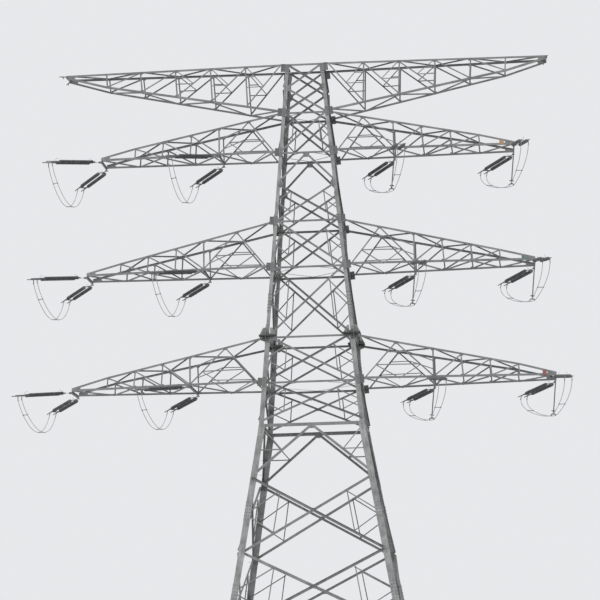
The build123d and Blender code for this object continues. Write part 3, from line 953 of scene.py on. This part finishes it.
for mesh, name in (
    (upperFlanges, "upperBracingLegs"),
    (lowerFlanges, "lowerBracingLegs"),
    (upperRedundants, "upperRedundants"),
    (lowerRedundants, "lowerRedundants"),
    (plates, "jointPlates"),
):
    finishPiece(mesh, name, bracingSteel)
for mesh, name, steel in (
    (splices, "legSplices", legSteel),
    # The flange plates are near-black: painted shade
    (flangePlates, "legFlangePlates", paintedShadeSteel),
    (flangeJoints, "legFlangeStiffeners", legSteel),
    (feet, "footStiffeners", legSteel),
    (upperBolts, "upperBracingBolts", boltSteel),
    (lowerBolts, "lowerBracingBolts", boltSteel),
    (plateBolts, "plateBolts", boltSteel),
    (rootBolts, "rootBolts", boltSteel),
    (spliceBolts, "spliceBolts", boltSteel),
    (flangeBolts, "flangeBolts", boltSteel),
    (stepBolts, "stepBolts", boltSteel),
    (nuts, "anchorNuts", boltSteel),
):
    finishPiece(mesh, name, steel)


# Crossarm trusses, front right, then copied to the other three corners
def onTruss(number, x, level):
    foot = facePoint(1, armLevel[number])
    normal = armPlane(number)
    y = foot.y - (normal.x * (x - foot.x) + normal.z * (level - foot.z)) / normal.y
    return Vector((x, y, level))


def armPlane(number):
    low, high = armLevel[number], armRoot[number]
    foot = facePoint(1, low)
    tip = Vector((armReach[number], -armTipHalf[number], levels["peak"] if number == 1 else low))
    return (tip - foot).cross(facePoint(1, high) - foot).normalized()


def chordLines(number):
    low, high = armLevel[number], armRoot[number]
    reach = armReach[number]
    foot, top = facePoint(1, low), facePoint(1, high)
    kink = onTruss(number, armKinkReach[number], armKinkLevel[number])
    if number == 1:
        end = onTruss(number, reach, high - armTipHeight)
        return (foot, kink, end), (top, onTruss(number, reach, high))
    end = onTruss(number, reach, low + armTipHeight)
    return (foot, onTruss(number, reach, low)), (top, kink, end)


def chordSpan(line, x):
    for start, end in zip(line, line[1:]):
        if x <= end.x:
            return start, end
    return line[-2], line[-1]


def atReach(line, x):
    start, end = chordSpan(line, x)
    return start + (end - start) * ((x - start.x) / (end.x - start.x))


def chordStop(line, x, gap):
    start, end = chordSpan(line, x)
    return atReach(line, x), end - start, gap


topBays = 5
outerBays = 3


def webNodes(number):
    kink = armKinkReach[number]
    if number == 1:
        first = half(levels["shoulder"])
        bay = (kink - first) / topBays
        return [first + bay * step for step in range(1, topBays + 1)]
    inner = armInnerReach[number]
    bay = (kink - inner) / outerBays
    nodes = [(half(armLevel[number]) + inner) / 2, inner]
    return nodes + [inner + bay * step for step in range(1, outerBays + 1)]


def webPath(number, lower, upper):
    nodes = webNodes(number)
    gap = sections["chord"][1] + sections["clearance"] / 2
    if number == 1:
        stops = [(upper, upper[0].x + gussetWing)]
        for x in nodes:
            stops += [(lower, x), (upper, x)]
    else:
        stops = [(lower, lower[0].x + gussetWing), (upper, nodes[0]), (lower, nodes[1])]
        for x in nodes[2:]:
            stops += [(upper, x), (lower, x)]
    return [chordStop(line, x, gap) for line, x in stops]


def planCorners(line, nodes, sense):
    path = []
    for step, x in enumerate(nodes):
        point, run, gap = chordStop(line, x, sections["clearance"])
        side = (-1) ** step
        path.append((Vector((point.x, side * point.y, point.z)), Vector((run.x, side * run.y, run.z)), gap))
    start, end = chordSpan(line, nodes[0])
    normal = (end - start).cross(north).normalized()
    if normal.z * sense < 0:
        normal = -normal
    return zigzagCorners(path, normal, sections["plan"][0]), normal


armDetail = {
    "flange": 0.065,
    "flangeThick": 0.008,
    "trim": 0.10,
    "trimShare": 0.2,
    "bolt": 0.016,
    "boltSteps": (0.06, 0.12),
    "boltAside": 0.12,
}
armRedundant = {
    "width": 0.050,
    "thick": 0.006,
    "behind": 0.022,  # the outer face of the truss
    "panelShares": (0.36, 0.70),  # of the way up to the crown of an inner panel
    "headShare": 0.55,
    "topPanels": 3,
    "topShare": 0.25,  # of the way down a post of the top arms
}
chordPlate = {
    "reach": 0.15,
    "drop": 0.15,
    "thick": 0.010,
    "gap": 0.001,
    "inset": 0.02,
    "footShare": 0.45,
    "bolts": (-0.10, 0.0, 0.10),
    "boltDrop": 0.06,
}
wingBolts = {
    "columns": (0.06, 0.16),
    "rows": (-0.18, -0.06, 0.06, 0.18),
    "belowPeak": 0.05,
    "plate": 0.012,
    "size": 0.018,
}
planDetail = {
    "flange": 0.064,
    "flangeThick": 0.008,
    "edge": 0.031,
    "above": 0.004,
    "trim": 0.22,
    "bolt": 0.013,
    "boltSteps": (0.05, 0.11),
    "boltSeat": 0.0087,  # upper side of a bar, over the chord
    "tipInset": 0.0375,  # of the last bar from the tip
}
chordThick = sections["chord"][1]
webSize = sections["web"]
armFlanges = bmesh.new()
armBolts = bmesh.new()
armThin = bmesh.new()
armPlates = bmesh.new()
planFlanges = bmesh.new()
planBolts = bmesh.new()


def addWeb(path, normal):
    corners = zigzagCorners(path, normal, webSize[0])
    addFlanges(armFlanges, armBolts, corners, normal, webSize, chordThick, False, armDetail)


def addThin(start, end, normal):
    addRedundant(armThin, start, end, normal, armRedundant)


def addChordPlate(line, other, x, normal):
    # Plate behind a chord where the web bars meet it, with a row of bolts
    here = atReach(line, x)
    start, end = chordSpan(line, x)
    run = (end - start).normalized()
    toward = unitAcross(atReach(other, x) - here, run)
    depth = chordThick + webSize[1] + chordPlate["gap"] + chordPlate["thick"]
    base = here - normal * depth + toward * chordPlate["inset"]
    wide = chordPlate["reach"]
    shape = ((0, wide), (chordPlate["drop"], wide * chordPlate["footShare"]))
    addPlate(armPlates, base, toward, run, normal * chordPlate["thick"], mirrored(shape))
    for step in chordPlate["bolts"]:
        addBolt(armBolts, here + run * step + toward * chordPlate["boltDrop"], normal, armDetail["bolt"])


def addWingBolts(number, normal):
    # On the wings of the bent root plates, beside the legs
    highest = levels["peak"] - wingBolts["belowPeak"]
    for level in (armLevel[number], armRoot[number]):
        for column in wingBolts["columns"]:
            for row in wingBolts["rows"]:
                wing = onTruss(number, half(level) + column, min(level + row, highest))
                addBolt(armBolts, wing + normal * wingBolts["plate"], normal, wingBolts["size"])


def addInnerPanel(number, lower, upper, normal):
    # The post at the inner strings, and thin bars in the tall panel beside the body
    first = webNodes(number)[0]
    inner = armInnerReach[number]
    gap = chordThick + sections["clearance"] / 2
    addWeb([chordStop(line, inner, gap) for line in (lower, upper)], normal)
    addChordPlate(upper, lower, first, normal)
    addChordPlate(upper, lower, inner, normal)
    addChordPlate(lower, upper, inner, normal)
    root = atReach(lower, lower[0].x + gussetWing)
    crown = atReach(upper, first)
    knee = atReach(lower, inner)
    head = atReach(upper, inner)
    foot = root.lerp(knee, 0.5)
    low, high = armRedundant["panelShares"]
    for share in (low, high):
        addThin(root.lerp(crown, share), knee.lerp(crown, share), normal)
    addThin(root.lerp(crown, low), foot, normal)
    addThin(knee.lerp(crown, low), foot, normal)
    addThin(knee.lerp(crown, high), knee.lerp(head, armRedundant["headShare"]), normal)


def addTopPanels(number, lower, upper, normal):
    # Thin bars in the three deep panels of a top arm
    nodes = webNodes(number)
    before = upper[0].x + gussetWing
    for x in nodes[: armRedundant["topPanels"]]:
        head, foot = atReach(upper, x), atReach(lower, x)
        middle = atReach(upper, before).lerp(foot, 0.5)
        addThin(head, middle, normal)
        addThin(head.lerp(foot, 0.5), middle, normal)
        addThin(head.lerp(foot, armRedundant["topShare"]), head.lerp(middle, 0.5), normal)
        before = x
    addChordPlate(upper, lower, nodes[0], normal)


def addPlanLegs(line, stops, sense):
    # Standing legs and bolts of the flat bracing between the front and back trusses
    corners, normal = planCorners(line, stops, sense)
    for start, end in zip(corners, corners[1:]):
        edge = normal.cross((end - start).normalized()).normalized()
        shift = edge * planDetail["edge"] + normal * planDetail["above"]
        thin = edge * (planDetail["flangeThick"] / 2)
        tall = -normal * planDetail["flange"]
        addStanding(planFlanges, start + shift, end + shift, planDetail["trim"], thin, tall)
        addEndBolts(planBolts, start, end, normal * planDetail["boltSeat"], normal, planDetail)


for number in (1, 2, 3, 4):
    lower, upper = chordLines(number)
    normal = armPlane(number)
    nodes = webNodes(number)
    addWeb(webPath(number, lower, upper), normal)
    addWingBolts(number, normal)
    for x in nodes[1:-1] if number == 1 else nodes[2:-1]:
        addChordPlate(upper, lower, x, normal)
        addChordPlate(lower, upper, x, normal)
    lowerStops = [lower[0].x + gussetWing] + nodes
    upperStops = [upper[0].x + gussetWing] + nodes
    tip = armReach[number] - planDetail["tipInset"]
    if number == 1:
        addTopPanels(number, lower, upper, normal)
        upperStops.append(tip)
    else:
        addInnerPanel(number, lower, upper, normal)
        lowerStops.append(tip)
    addPlanLegs(lower, lowerStops, -1)
    addPlanLegs(upper, upperStops, 1)
for mesh in (armFlanges, armBolts, armThin, armPlates):
    spread(mesh, allArms)
spread(planFlanges, [flipX])
spread(planBolts, [flipX])
for mesh, name, steel in (
    (armFlanges, "crossarmLegs", bracingSteel),
    (armThin, "crossarmRedundants", bracingSteel),
    (armPlates, "crossarmPlates", bracingSteel),
    (armBolts, "crossarmBolts", boltSteel),
    (planFlanges, "planBracingLegs", bracingSteel),
    (planBolts, "planBracingBolts", boltSteel),
):
    finishPiece(mesh, name, steel)
print("stage 5: crossarm details")

# Insulator strings, each turned and tipped by the pull on it
strings = {"length": 2.4, "spacing": 0.40, "lug": 0.15, "link": 0.29, "yoke": 0.15, "clamp": 0.55}
pulls = {  # degrees off straight across the arm, and fall
    "backLeft": (-36, 0.155),
    "backRight": (-31, 0.125),
    "frontLeft": (-50, 0.09),
    "frontRight": (9, 0.118),
}
crossBeam = {"depth": 0.160, "width": 0.075, "wall": 0.010}


def headingVector(key, sense):
    degrees, fall = pulls[key]
    swing = math.radians(degrees)
    return Vector((math.sin(swing), sense * math.cos(swing), -fall)).normalized()


def stringSeat(number, x, side, pull):
    reach = -atReach(chordLines(number)[0], x).y - crossBeam["width"] / 2
    away = side * (x - crossBeam["wall"] / 2)
    return Vector((away, math.copysign(reach, pull.y), armLevel[number] - crossBeam["depth"] / 2))


shed = {"core": 0.030, "large": 0.098, "small": 0.084, "pitch": 0.045, "end": 0.10, "sides": 14}
shedShape = {
    "collar": 1.25,  # radius at both ends, to the core's
    "collarEnd": 0.7,  # places in the plain end
    "neck": 0.75,
    "rim": ((0.006, 0.94), (0.010, 1.0), (0.013, 0.97)),  # along, and share of the radius
    "root": (0.62, 1.05),  # shares of the pitch and of the core
}


def shedProfile(length, size):
    core = size["core"]
    end = size["end"]
    collar = core * shedShape["collar"]
    plainEnd = [(0.0, collar), (end * shedShape["collarEnd"], collar), (end * shedShape["neck"], core)]
    profile = plainEnd[:]
    along = end
    count = 0
    while along < length - end - size["pitch"]:
        radius = size["small"] if count % 2 else size["large"]
        profile.append((along, core))
        profile += [(along + step, radius * share) for step, share in shedShape["rim"]]
        profile.append((along + size["pitch"] * shedShape["root"][0], core * shedShape["root"][1]))
        along += size["pitch"]
        count += 1
    return profile + [(length - step, radius) for step, radius in plainEnd[::-1]]


horn = {
    "rise": 0.19,
    "reach": 0.16,
    "tail": 0.05,
    "wire": 0.007,
    "steps": 8,
    "ball": ((-0.012, 0.008), (-0.004, 0.014), (0.004, 0.008)),
}


def addHorn(mesh, base, rise, out):
    # Arcing horn: a thin rod that stands off the string and bends along it
    points = []
    for step in range(horn["steps"] + 1):
        swing = math.pi / 2 * step / horn["steps"]
        lift = rise * (horn["rise"] * math.sin(swing))
        points.append(base + lift + out * (horn["reach"] * (1 - math.cos(swing))))
    points.append(points[-1] + out * horn["tail"])
    addTube(mesh, points, horn["wire"])
    addTurned(mesh, points[-1], out, horn["ball"], sides["pin"])


shackle = {"wire": 0.011, "steps": 10, "depth": 1.5, "pin": 0.016, "pinLength": 2.7}


def addShackle(mesh, centre, pull, aside, size):
    points = []
    for step in range(shackle["steps"] + 1):
        swing = math.pi * step / shackle["steps"]
        across = aside * (size * math.cos(swing))
        points.append(centre + across + pull * (size * shackle["depth"] * math.sin(swing)))
    addTube(mesh, points, shackle["wire"])
    addPin(mesh, centre, aside, shackle["pin"], size * shackle["pinLength"])


# Steel parts of a string: profiles are (distance, radius) pairs, plates half outlines
twin = strings["spacing"] / 2
clampEnd = strings["yoke"] + strings["clamp"]
fittings = {
    "cap": ((-0.05, 0.020), (-0.02, 0.032), (0.06, 0.034), (0.07, 0.028)),
    "shackle": 0.036,
    "shackleBack": 0.02,
    "lugPin": (0.017, 0.10),  # radius and length
    "linkFrom": 0.03,
    "linkSize": (0.055, 0.016),
    "linkPinPast": 0.01,
    "linkPin": (0.020, 0.07),
    "yokeThick": 0.018,
    "nearYoke": ((-0.04, 0.05), (0.09, twin + 0.045), (0.14, twin + 0.045)),
    "farYoke": ((-0.02, twin + 0.05), (0.10, twin + 0.05), (0.15, twin - 0.05)),
    "clampPinAt": 0.05,
    "clampPin": (0.016, 0.08),
    "strap": (0.02, 0.17),  # from and to
    "strapSize": (0.050, 0.012),
    "strapAside": 0.022,
    "clamp": (
        (0.14, 0.020),
        (0.17, 0.029),
        (clampEnd - 0.22, 0.029),
        (clampEnd - 0.20, 0.025),
        (clampEnd - 0.03, 0.025),
        (clampEnd, 0.019),
    ),
    "terminalAt": strings["yoke"] + 0.15,
    "terminal": ((0.0, 0.030), (0.05, 0.030), (0.06, 0.023), (0.26, 0.023), (0.28, 0.020)),
    "hornAt": (0.02, 0.01),  # off the string's end, and over the yoke's middle
    "boltAt": 0.03,
    "bolt": 0.018,
    "cableBelow": 0.025,
}


def addYoke(mesh, base, pull, aside, flat, shape):
    push = flat * fittings["yokeThick"]
    addPlate(mesh, base - push / 2, pull, aside, push, mirrored(shape))


def addClamp(mesh, root, pull, flat, leave):
    # One dead-end clamp with its straps and the terminal of the jumper
    addPin(mesh, root + pull * fittings["clampPinAt"], flat, *fittings["clampPin"])
    start, end = fittings["strap"]
    for shift in (fittings["strapAside"], -fittings["strapAside"]):
        addBar(mesh, root + pull * start, root + pull * end, flat, *fittings["strapSize"], (0, shift))
    addTurned(mesh, root, pull, fittings["clamp"], sides["body"])
    addTurned(mesh, root + pull * fittings["terminalAt"], leave, fittings["terminal"], sides["body"])


def addString(rubberMesh, steelMesh, seat, pull, lean):
    flat = unitAcross(up, pull)
    aside = flat.cross(pull).normalized()
    start = seat + pull * strings["lug"]
    neck = start + pull * strings["link"]
    near = neck + pull * strings["yoke"]
    far = near + pull * strings["length"]
    leave = pull * math.sin(lean) - flat * math.cos(lean)
    pair = [aside * -twin, aside * twin]
    profile = shedProfile(strings["length"], shed)
    for side in pair:
        addTurned(rubberMesh, near + side, pull, profile, shed["sides"])
        addTurned(steelMesh, near + side, pull, fittings["cap"], sides["clamp"])
        addTurned(steelMesh, far + side, -pull, fittings["cap"], sides["clamp"])
        addClamp(steelMesh, far + side, pull, flat, leave)
    addShackle(steelMesh, start - pull * fittings["shackleBack"], pull, flat, fittings["shackle"])
    addPin(steelMesh, start, aside, *fittings["lugPin"])
    linkShift = pull * fittings["linkFrom"]
    addBar(steelMesh, start + linkShift, neck + linkShift, aside, *fittings["linkSize"])
    addPin(steelMesh, neck + pull * fittings["linkPinPast"], flat, *fittings["linkPin"])
    addYoke(steelMesh, neck, pull, aside, flat, fittings["nearYoke"])
    addYoke(steelMesh, far, pull, aside, flat, fittings["farYoke"])
    off, over = fittings["hornAt"]
    for place, way in ((near, pull), (far, -pull)):
        addHorn(steelMesh, place - way * off + flat * over, flat, way)
        for side in pair:
            seat = place - way * fittings["boltAt"] + side + flat * (fittings["yokeThick"] / 2)
            addBolt(steelMesh, seat, flat, fittings["bolt"])
    base = far + pull * fittings["terminalAt"] - flat * fittings["cableBelow"]
    return [base + side for side in pair], leave


jumper = {
    "radius": 0.018,
    "resolution": 20,
    "roundness": 2,
    "stub": 0.1,  # straight lengths at clamps and posts
    "stubHandle": 0.03,
    "frontLean": 5,
    "backLean": 40,
    "leftFrontDrop": 0.6,  # lengths of the handles that give the sag
    "leftBackDrop": 2.7,
    "postFrontDrop": 1.05,
    "postBackDrop": 0.9,
    "postFrontRun": 0.4,
    "postBackRun": 1.3,
    "postSpacing": 0.24,
    "postSwing": 6,
    "postLug": 0.11,
    "postLength": 1.85,
    "postBar": 0.06,
    "leftSpacers": ((1, 0.3), (1, 0.7)),  # span, and share of the way along it
    "postSpacers": ((1, 0.5), (3, 0.6)),
}
spacer = {
    "inset": 0.02,
    "size": (0.034, 0.012),
    "clamp": ((-0.028, 0.026), (-0.016, 0.030), (0.017, 0.030), (0.027, 0.018)),
}
postSwing = math.radians(jumper["postSwing"])
postDown = Vector((-math.sin(postSwing), 0, -math.cos(postSwing)))


def newCurve(name):
    curve = bpy.data.curves.new(name, "CURVE")
    curve.dimensions = "3D"
    curve.resolution_u = jumper["resolution"]
    curve.bevel_depth = jumper["radius"]
    curve.bevel_resolution = jumper["roundness"]
    curve.use_fill_caps = True
    return curve


def addCable(curve, knots):
    # One smooth cable from (point, arriving handle, leaving handle) knots
    spline = curve.splines.new("BEZIER")
    spline.bezier_points.add(len(knots) - 1)
    for knot, (point, before, after) in zip(spline.bezier_points, knots):
        knot.co = point
        knot.handle_left_type = "FREE"
        knot.handle_right_type = "FREE"
        knot.handle_left = before
        knot.handle_right = after


def onCable(knots, span, share):
    rest = 1 - share
    start, _, leaving = knots[span]
    end, arriving, _ = knots[span + 1]
    first = start * rest**3 + leaving * (3 * rest**2 * share)
    return first + arriving * (3 * rest * share**2) + end * share**3


def addSpacer(mesh, first, second):
    axis = (second - first).normalized()
    inset = axis * spacer["inset"]
    addBar(mesh, first + inset, second - inset, up, *spacer["size"])
    addTurned(mesh, first, axis, spacer["clamp"], sides["clamp"])
    addTurned(mesh, second, -axis, spacer["clamp"], sides["clamp"])


def postHinge(number, x):
    return Vector((x - crossBeam["width"] / 2, 0, armLevel[number] - crossBeam["depth"]))


def postHold(number, x, sense):
    # Where a jumper lies against the bar at the foot of a post
    foot = postHinge(number, x) + postDown * (jumper["postLength"] + jumper["postBar"])
    return foot + Vector((sense * jumper["postSpacing"] / 2, 0, -jumper["radius"]))


def jumperKnots(start, leave, end, arrive, hold):
    # From the front clamp to the back one, by way of the post where there is one
    stub, handle = jumper["stub"], jumper["stubHandle"]
    near = start + leave * stub
    far = end + arrive * stub
    first = (start, start - leave * stub, start + leave * handle)
    last = (end, end + arrive * handle, end - arrive * stub)
    if hold is None:
        return [
            first,
            (near, near - leave * handle, near + leave * jumper["leftFrontDrop"]),
            (far, far + arrive * jumper["leftBackDrop"], far - arrive * handle),
            last,
        ]
    along = Vector((end.x - start.x, end.y - start.y, 0)).normalized()
    before = hold - along * stub
    after = hold + along * stub
    return [
        first,
        (near, near - leave * handle, near + leave * jumper["postFrontDrop"]),
        (before, before - along * jumper["postFrontRun"], before + along * handle),
        (after, after - along * handle, after + along * jumper["postBackRun"]),
        (far, far + arrive * jumper["postBackDrop"], far - arrive * handle),
        last,
    ]


for side, name in ((-1, "left"), (1, "right")):
    rubberMesh = bmesh.new()
    steelMesh = bmesh.new()
    spacerMesh = bmesh.new()
    curve = newCurve(f"jumpers_{name}_smooth")
    frontPull = headingVector("frontLeft" if side < 0 else "frontRight", -1)
    backPull = headingVector("backLeft" if side < 0 else "backRight", 1)
    for number in (2, 3, 4):
        for x in (armInnerReach[number], armReach[number]):
            tips = []
            for pull, lean in ((frontPull, jumper["frontLean"]), (backPull, jumper["backLean"])):
                seat = stringSeat(number, x, side, pull)
                tips.append(addString(rubberMesh, steelMesh, seat, pull, math.radians(lean)))
            (fronts, leave), (backs, arrive) = tips
            cables = []
            for start, end, sense in zip(fronts, backs[::-1], (-1, 1)):
                hold = postHold(number, x, sense) if side > 0 else None
                cables.append(jumperKnots(start, leave, end, arrive, hold))
                addCable(curve, cables[-1])
            for span, share in jumper["postSpacers"] if side > 0 else jumper["leftSpacers"]:
                addSpacer(spacerMesh, onCable(cables[0], span, share), onCable(cables[1], span, share))
    finishPiece(rubberMesh, f"insulators_{name}_sheds", rubber, [f"insulators_{name}"])
    finishPiece(
        steelMesh,
        f"string_fittings_{name}_forged",
        forgedSteel,
        [f"string_fittings_{name}"],
    )
    finishPiece(spacerMesh, f"jumper_spacers_{name}", forgedSteel)
    curve.materials.append(aluminium)
    cables = bpy.data.objects.new(f"jumpers_{name}_smooth", curve)
    placePiece(cables, [f"jumpers_{name}"])

# Beams across the tips of the top arms, each with two small dead-end clamps
tipBeam = {"level": 35.91, "inset": 0.05, "size": (0.06, 0.11), "overhang": 0.06}
tipClamp = {
    "strap": (-0.06, 0.10),  # from and to
    "strapSize": (0.016, 0.07),
    "shackleAt": 0.07,
    "shackle": 0.032,
    "bodyAt": 0.11,
    "body": ((0, 0.016), (0.03, 0.030), (0.26, 0.034), (0.30, 0.020), (0.42, 0.014)),
    "terminalAt": 0.24,
    "terminal": ((0, 0.022), (0.12, 0.022), (0.13, 0.014)),
}
earthBeams = bmesh.new()
earthClamps = bmesh.new()
for side, keys in ((-1, ("frontLeft", "backLeft")), (1, ("frontRight", "backRight"))):
    x = side * (armReach[1] - tipBeam["inset"])
    reach = armTipHalf[1] + tipBeam["overhang"]
    ends = [Vector((x, sense * reach, tipBeam["level"])) for sense in (-1, 1)]
    addBar(earthBeams, ends[0], ends[1], east, *tipBeam["size"])
    for seat, key, sense in zip(ends, keys, (-1, 1)):
        pull = headingVector(key, sense)
        flat = unitAcross(up, pull)
        aside = flat.cross(pull).normalized()
        start, end = tipClamp["strap"]
        addBar(earthClamps, seat + pull * start, seat + pull * end, aside, *tipClamp["strapSize"])
        addShackle(earthClamps, seat + pull * tipClamp["shackleAt"], pull, aside, tipClamp["shackle"])
        body = seat + pull * tipClamp["bodyAt"]
        addTurned(earthClamps, body, pull, tipClamp["body"], sides["clamp"])
        terminal = seat + pull * tipClamp["terminalAt"]
        addTurned(earthClamps, terminal, -flat, tipClamp["terminal"], sides["pin"])
finishPiece(earthBeams, "earthWireBeams", bracingSteel)
finishPiece(earthClamps, "earthWireClamps", forgedSteel)

# Posts that hold the right-hand jumpers under the beams
postRubber = bmesh.new()
postSteel = bmesh.new()
postShed = {"core": 0.024, "large": 0.045, "small": 0.038, "pitch": 0.040, "end": 0.12, "sides": 12}
post = {
    "lugSize": (0.012, 0.05),
    "lugAside": 0.018,
    "seat": 0.060,
    "seatThick": 0.010,
    "pivotShare": 0.75,
    "pivot": (0.014, 0.056),  # radius and length
    "topCap": ((0, 0.011), (0.05, 0.022), (0.06, 0.034), (0.15, 0.034), (0.16, 0.026)),
    "shedsFrom": 0.20,
    "shedsShorter": 0.24,  # than the whole post
    "footCap": ((-0.13, 0.026), (-0.12, 0.034), (0.0, 0.034)),
    "plateThick": 0.018,
    "plate": ((-0.04, 0.14), (-0.01, 0.14), (0.04, 0.03)),
    "hold": ((-0.045, 0.022), (-0.035, 0.030), (0.035, 0.030), (0.045, 0.022)),
    "hanger": (0.01, 0.065),  # from and to, over the jumper
    "hangerSize": (0.040, 0.030),
}
hoop = {"fromFoot": 0.17, "radius": 0.105, "wire": 0.020, "steps": 24, "spoke": (0.008, 0.020)}


def addHoop(mesh, centre, axis):
    # Round ring with four spokes, across an axis
    a = axis.orthogonal().normalized()
    b = axis.cross(a).normalized()
    rings = []
    for step in range(hoop["steps"]):
        swing = 2 * math.pi * step / hoop["steps"]
        out = a * math.cos(swing) + b * math.sin(swing)
        rings.append(addRing(mesh, centre + out * hoop["radius"], out, axis, hoop["wire"], sides["pin"]))
    skinRings(mesh, rings, closed=True)
    for way in (a, b):
        spoke = way * hoop["radius"]
        addBar(mesh, centre - spoke, centre + spoke, axis, *hoop["spoke"])


for number in (2, 3, 4):
    for x in (armInnerReach[number], armReach[number]):
        hinge = postHinge(number, x)
        lugEnd = hinge - up * jumper["postLug"]
        for shift in (post["lugAside"], -post["lugAside"]):
            addBar(postSteel, hinge, lugEnd, east, *post["lugSize"], (shift, 0))
        addBar(postSteel, hinge, hinge - up * post["seatThick"], east, post["seat"], post["seat"])
        pivot = hinge.lerp(lugEnd, post["pivotShare"])
        addPin(postSteel, pivot, east, *post["pivot"])
        addTurned(postSteel, pivot, postDown, post["topCap"], sides["body"])
        profile = shedProfile(jumper["postLength"] - post["shedsShorter"], postShed)
        addTurned(postRubber, hinge + postDown * post["shedsFrom"], postDown, profile, postShed["sides"])
        foot = hinge + postDown * jumper["postLength"]
        addHoop(postSteel, foot - postDown * hoop["fromFoot"], postDown)
        addTurned(postSteel, foot, postDown, post["footCap"], sides["body"])
        push = north * post["plateThick"]
        addPlate(postSteel, foot - push / 2, up, east, push, mirrored(post["plate"]))
        for sense in (-1, 1):
            hold = postHold(number, x, sense)
            low, high = post["hanger"]
            addTurned(postSteel, hold, north, post["hold"], sides["body"])
            addBar(postSteel, hold + up * low, hold + up * high, east, *post["hangerSize"])
finishPiece(postRubber, "jumper_posts_sheds", rubber, ["jumper_posts_right"])
finishPiece(postSteel, "jumper_posts_fittings", forgedSteel)
print("stage 6: strings and jumpers")

# Small painted plates near the right-hand tips
markers = (
    {
        "name": "marker_upper",
        "arm": 2,
        "fromTip": 0.70,
        "width": 0.24,
        "fresh": (0.40, 0.25, 0.14),
        "worn": (0.30, 0.21, 0.14),
    },
    {
        "name": "marker_middle",
        "arm": 3,
        "fromTip": 0.56,
        "width": 0.38,
        "fresh": (0.110, 0.160, 0.138),
        "worn": (0.17, 0.21, 0.20),
    },
    {
        "name": "marker_lower",
        "arm": 4,
        "fromTip": 0.65,
        "width": 0.22,
        "fresh": (0.27, 0.085, 0.080),
        "worn": (0.19, 0.10, 0.10),
    },
)
markerSize = {
    "height": 0.28,
    "thick": 0.003,
    "corner": 0.02,
    "cornerAngles": (0, 30, 60, 90),
    "up": 0.38,  # share of the way from the lower chord to the upper one
    "gap": 0.004,
}


def roundedOutline(width, height, corner):
    # Rectangle with round corners, as (across, up) pairs
    shape = []
    for i, j, first in ((1, 1, 0), (-1, 1, 90), (-1, -1, 180), (1, -1, 270)):
        for turned in markerSize["cornerAngles"]:
            swing = math.radians(first + turned)
            across = i * (width / 2 - corner) + corner * math.cos(swing)
            shape.append((across, j * (height / 2 - corner) + corner * math.sin(swing)))
    return shape


for marker in markers:
    lower, upper = chordLines(marker["arm"])
    x = armReach[marker["arm"]] - marker["fromTip"]
    normal = armPlane(marker["arm"])
    rise = unitAcross(up, normal)
    run = rise.cross(normal).normalized()
    centre = atReach(lower, x).lerp(atReach(upper, x), markerSize["up"]) + normal * markerSize["gap"]
    shape = roundedOutline(marker["width"], markerSize["height"], markerSize["corner"])
    mesh = bmesh.new()
    addPlate(mesh, centre, run, rise, normal * markerSize["thick"], shape)
    paint = platePaint(marker["name"] + "_paint", marker["fresh"], marker["worn"])
    finishPiece(mesh, marker["name"], paint)

# Finishes of the nodes that stay as the frame has them
for node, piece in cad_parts.items():
    if node.startswith(("leg_", "base_")):
        finish = legSteel
    elif node.startswith("jumper"):
        finish = aluminium
    else:
        finish = bracingSteel
    piece.data.materials.clear()
    piece.data.materials.append(finish)
    for polygon in piece.data.polygons:
        polygon.use_smooth = False


# Floor, backdrop and lights
floorLook = {
    "size": 600,
    "tones": [(0.3, (0.60, 0.60, 0.59)), (0.7, (0.66, 0.66, 0.65))],
    "scale": 0.05,
    "roughness": 0.9,
}
studio = {
    "backdrop": (0.80, 0.81, 0.83),
    "strength": 1.0,
    "softness": 12,  # angle of each sun in degrees
    "suns": ((0.75, (58, 0, -52)), (0.7, (68, 0, 46))),  # energy, and turns in degrees
}


def floorMaterial():
    material, tree, shader = newMaterial("paleFloor")
    place = tree.nodes.new("ShaderNodeTexCoord").outputs["Object"]
    tone = ramp(tree, noise(tree, place, floorLook["scale"]), floorLook["tones"])
    tree.links.new(tone, shader.inputs["Base Color"])
    shader.inputs["Roughness"].default_value = floorLook["roughness"]
    return material


bpy.ops.mesh.primitive_plane_add(size=floorLook["size"], location=(0, 0, 0))
floor = bpy.context.object
floor.name = "floor"
floor.data.materials.append(floorMaterial())

world = bpy.data.worlds.new("studioBackdrop")
world.use_nodes = True
backdrop = world.node_tree.nodes["Background"]
backdrop.inputs["Color"].default_value = (*studio["backdrop"], 1)
backdrop.inputs["Strength"].default_value = studio["strength"]
bpy.context.scene.world = world
for strength, turns in studio["suns"]:
    sunData = bpy.data.lights.new("softSun", "SUN")
    sunData.energy = strength
    sunData.angle = math.radians(studio["softness"])
    sunObject = bpy.data.objects.new("softSun", sunData)
    sunObject.rotation_euler = [math.radians(angle) for angle in turns]
    bpy.context.scene.collection.objects.link(sunObject)
bpy.context.scene.view_settings.view_transform = "Standard"
print("stage 7: finishes, floor and lights")
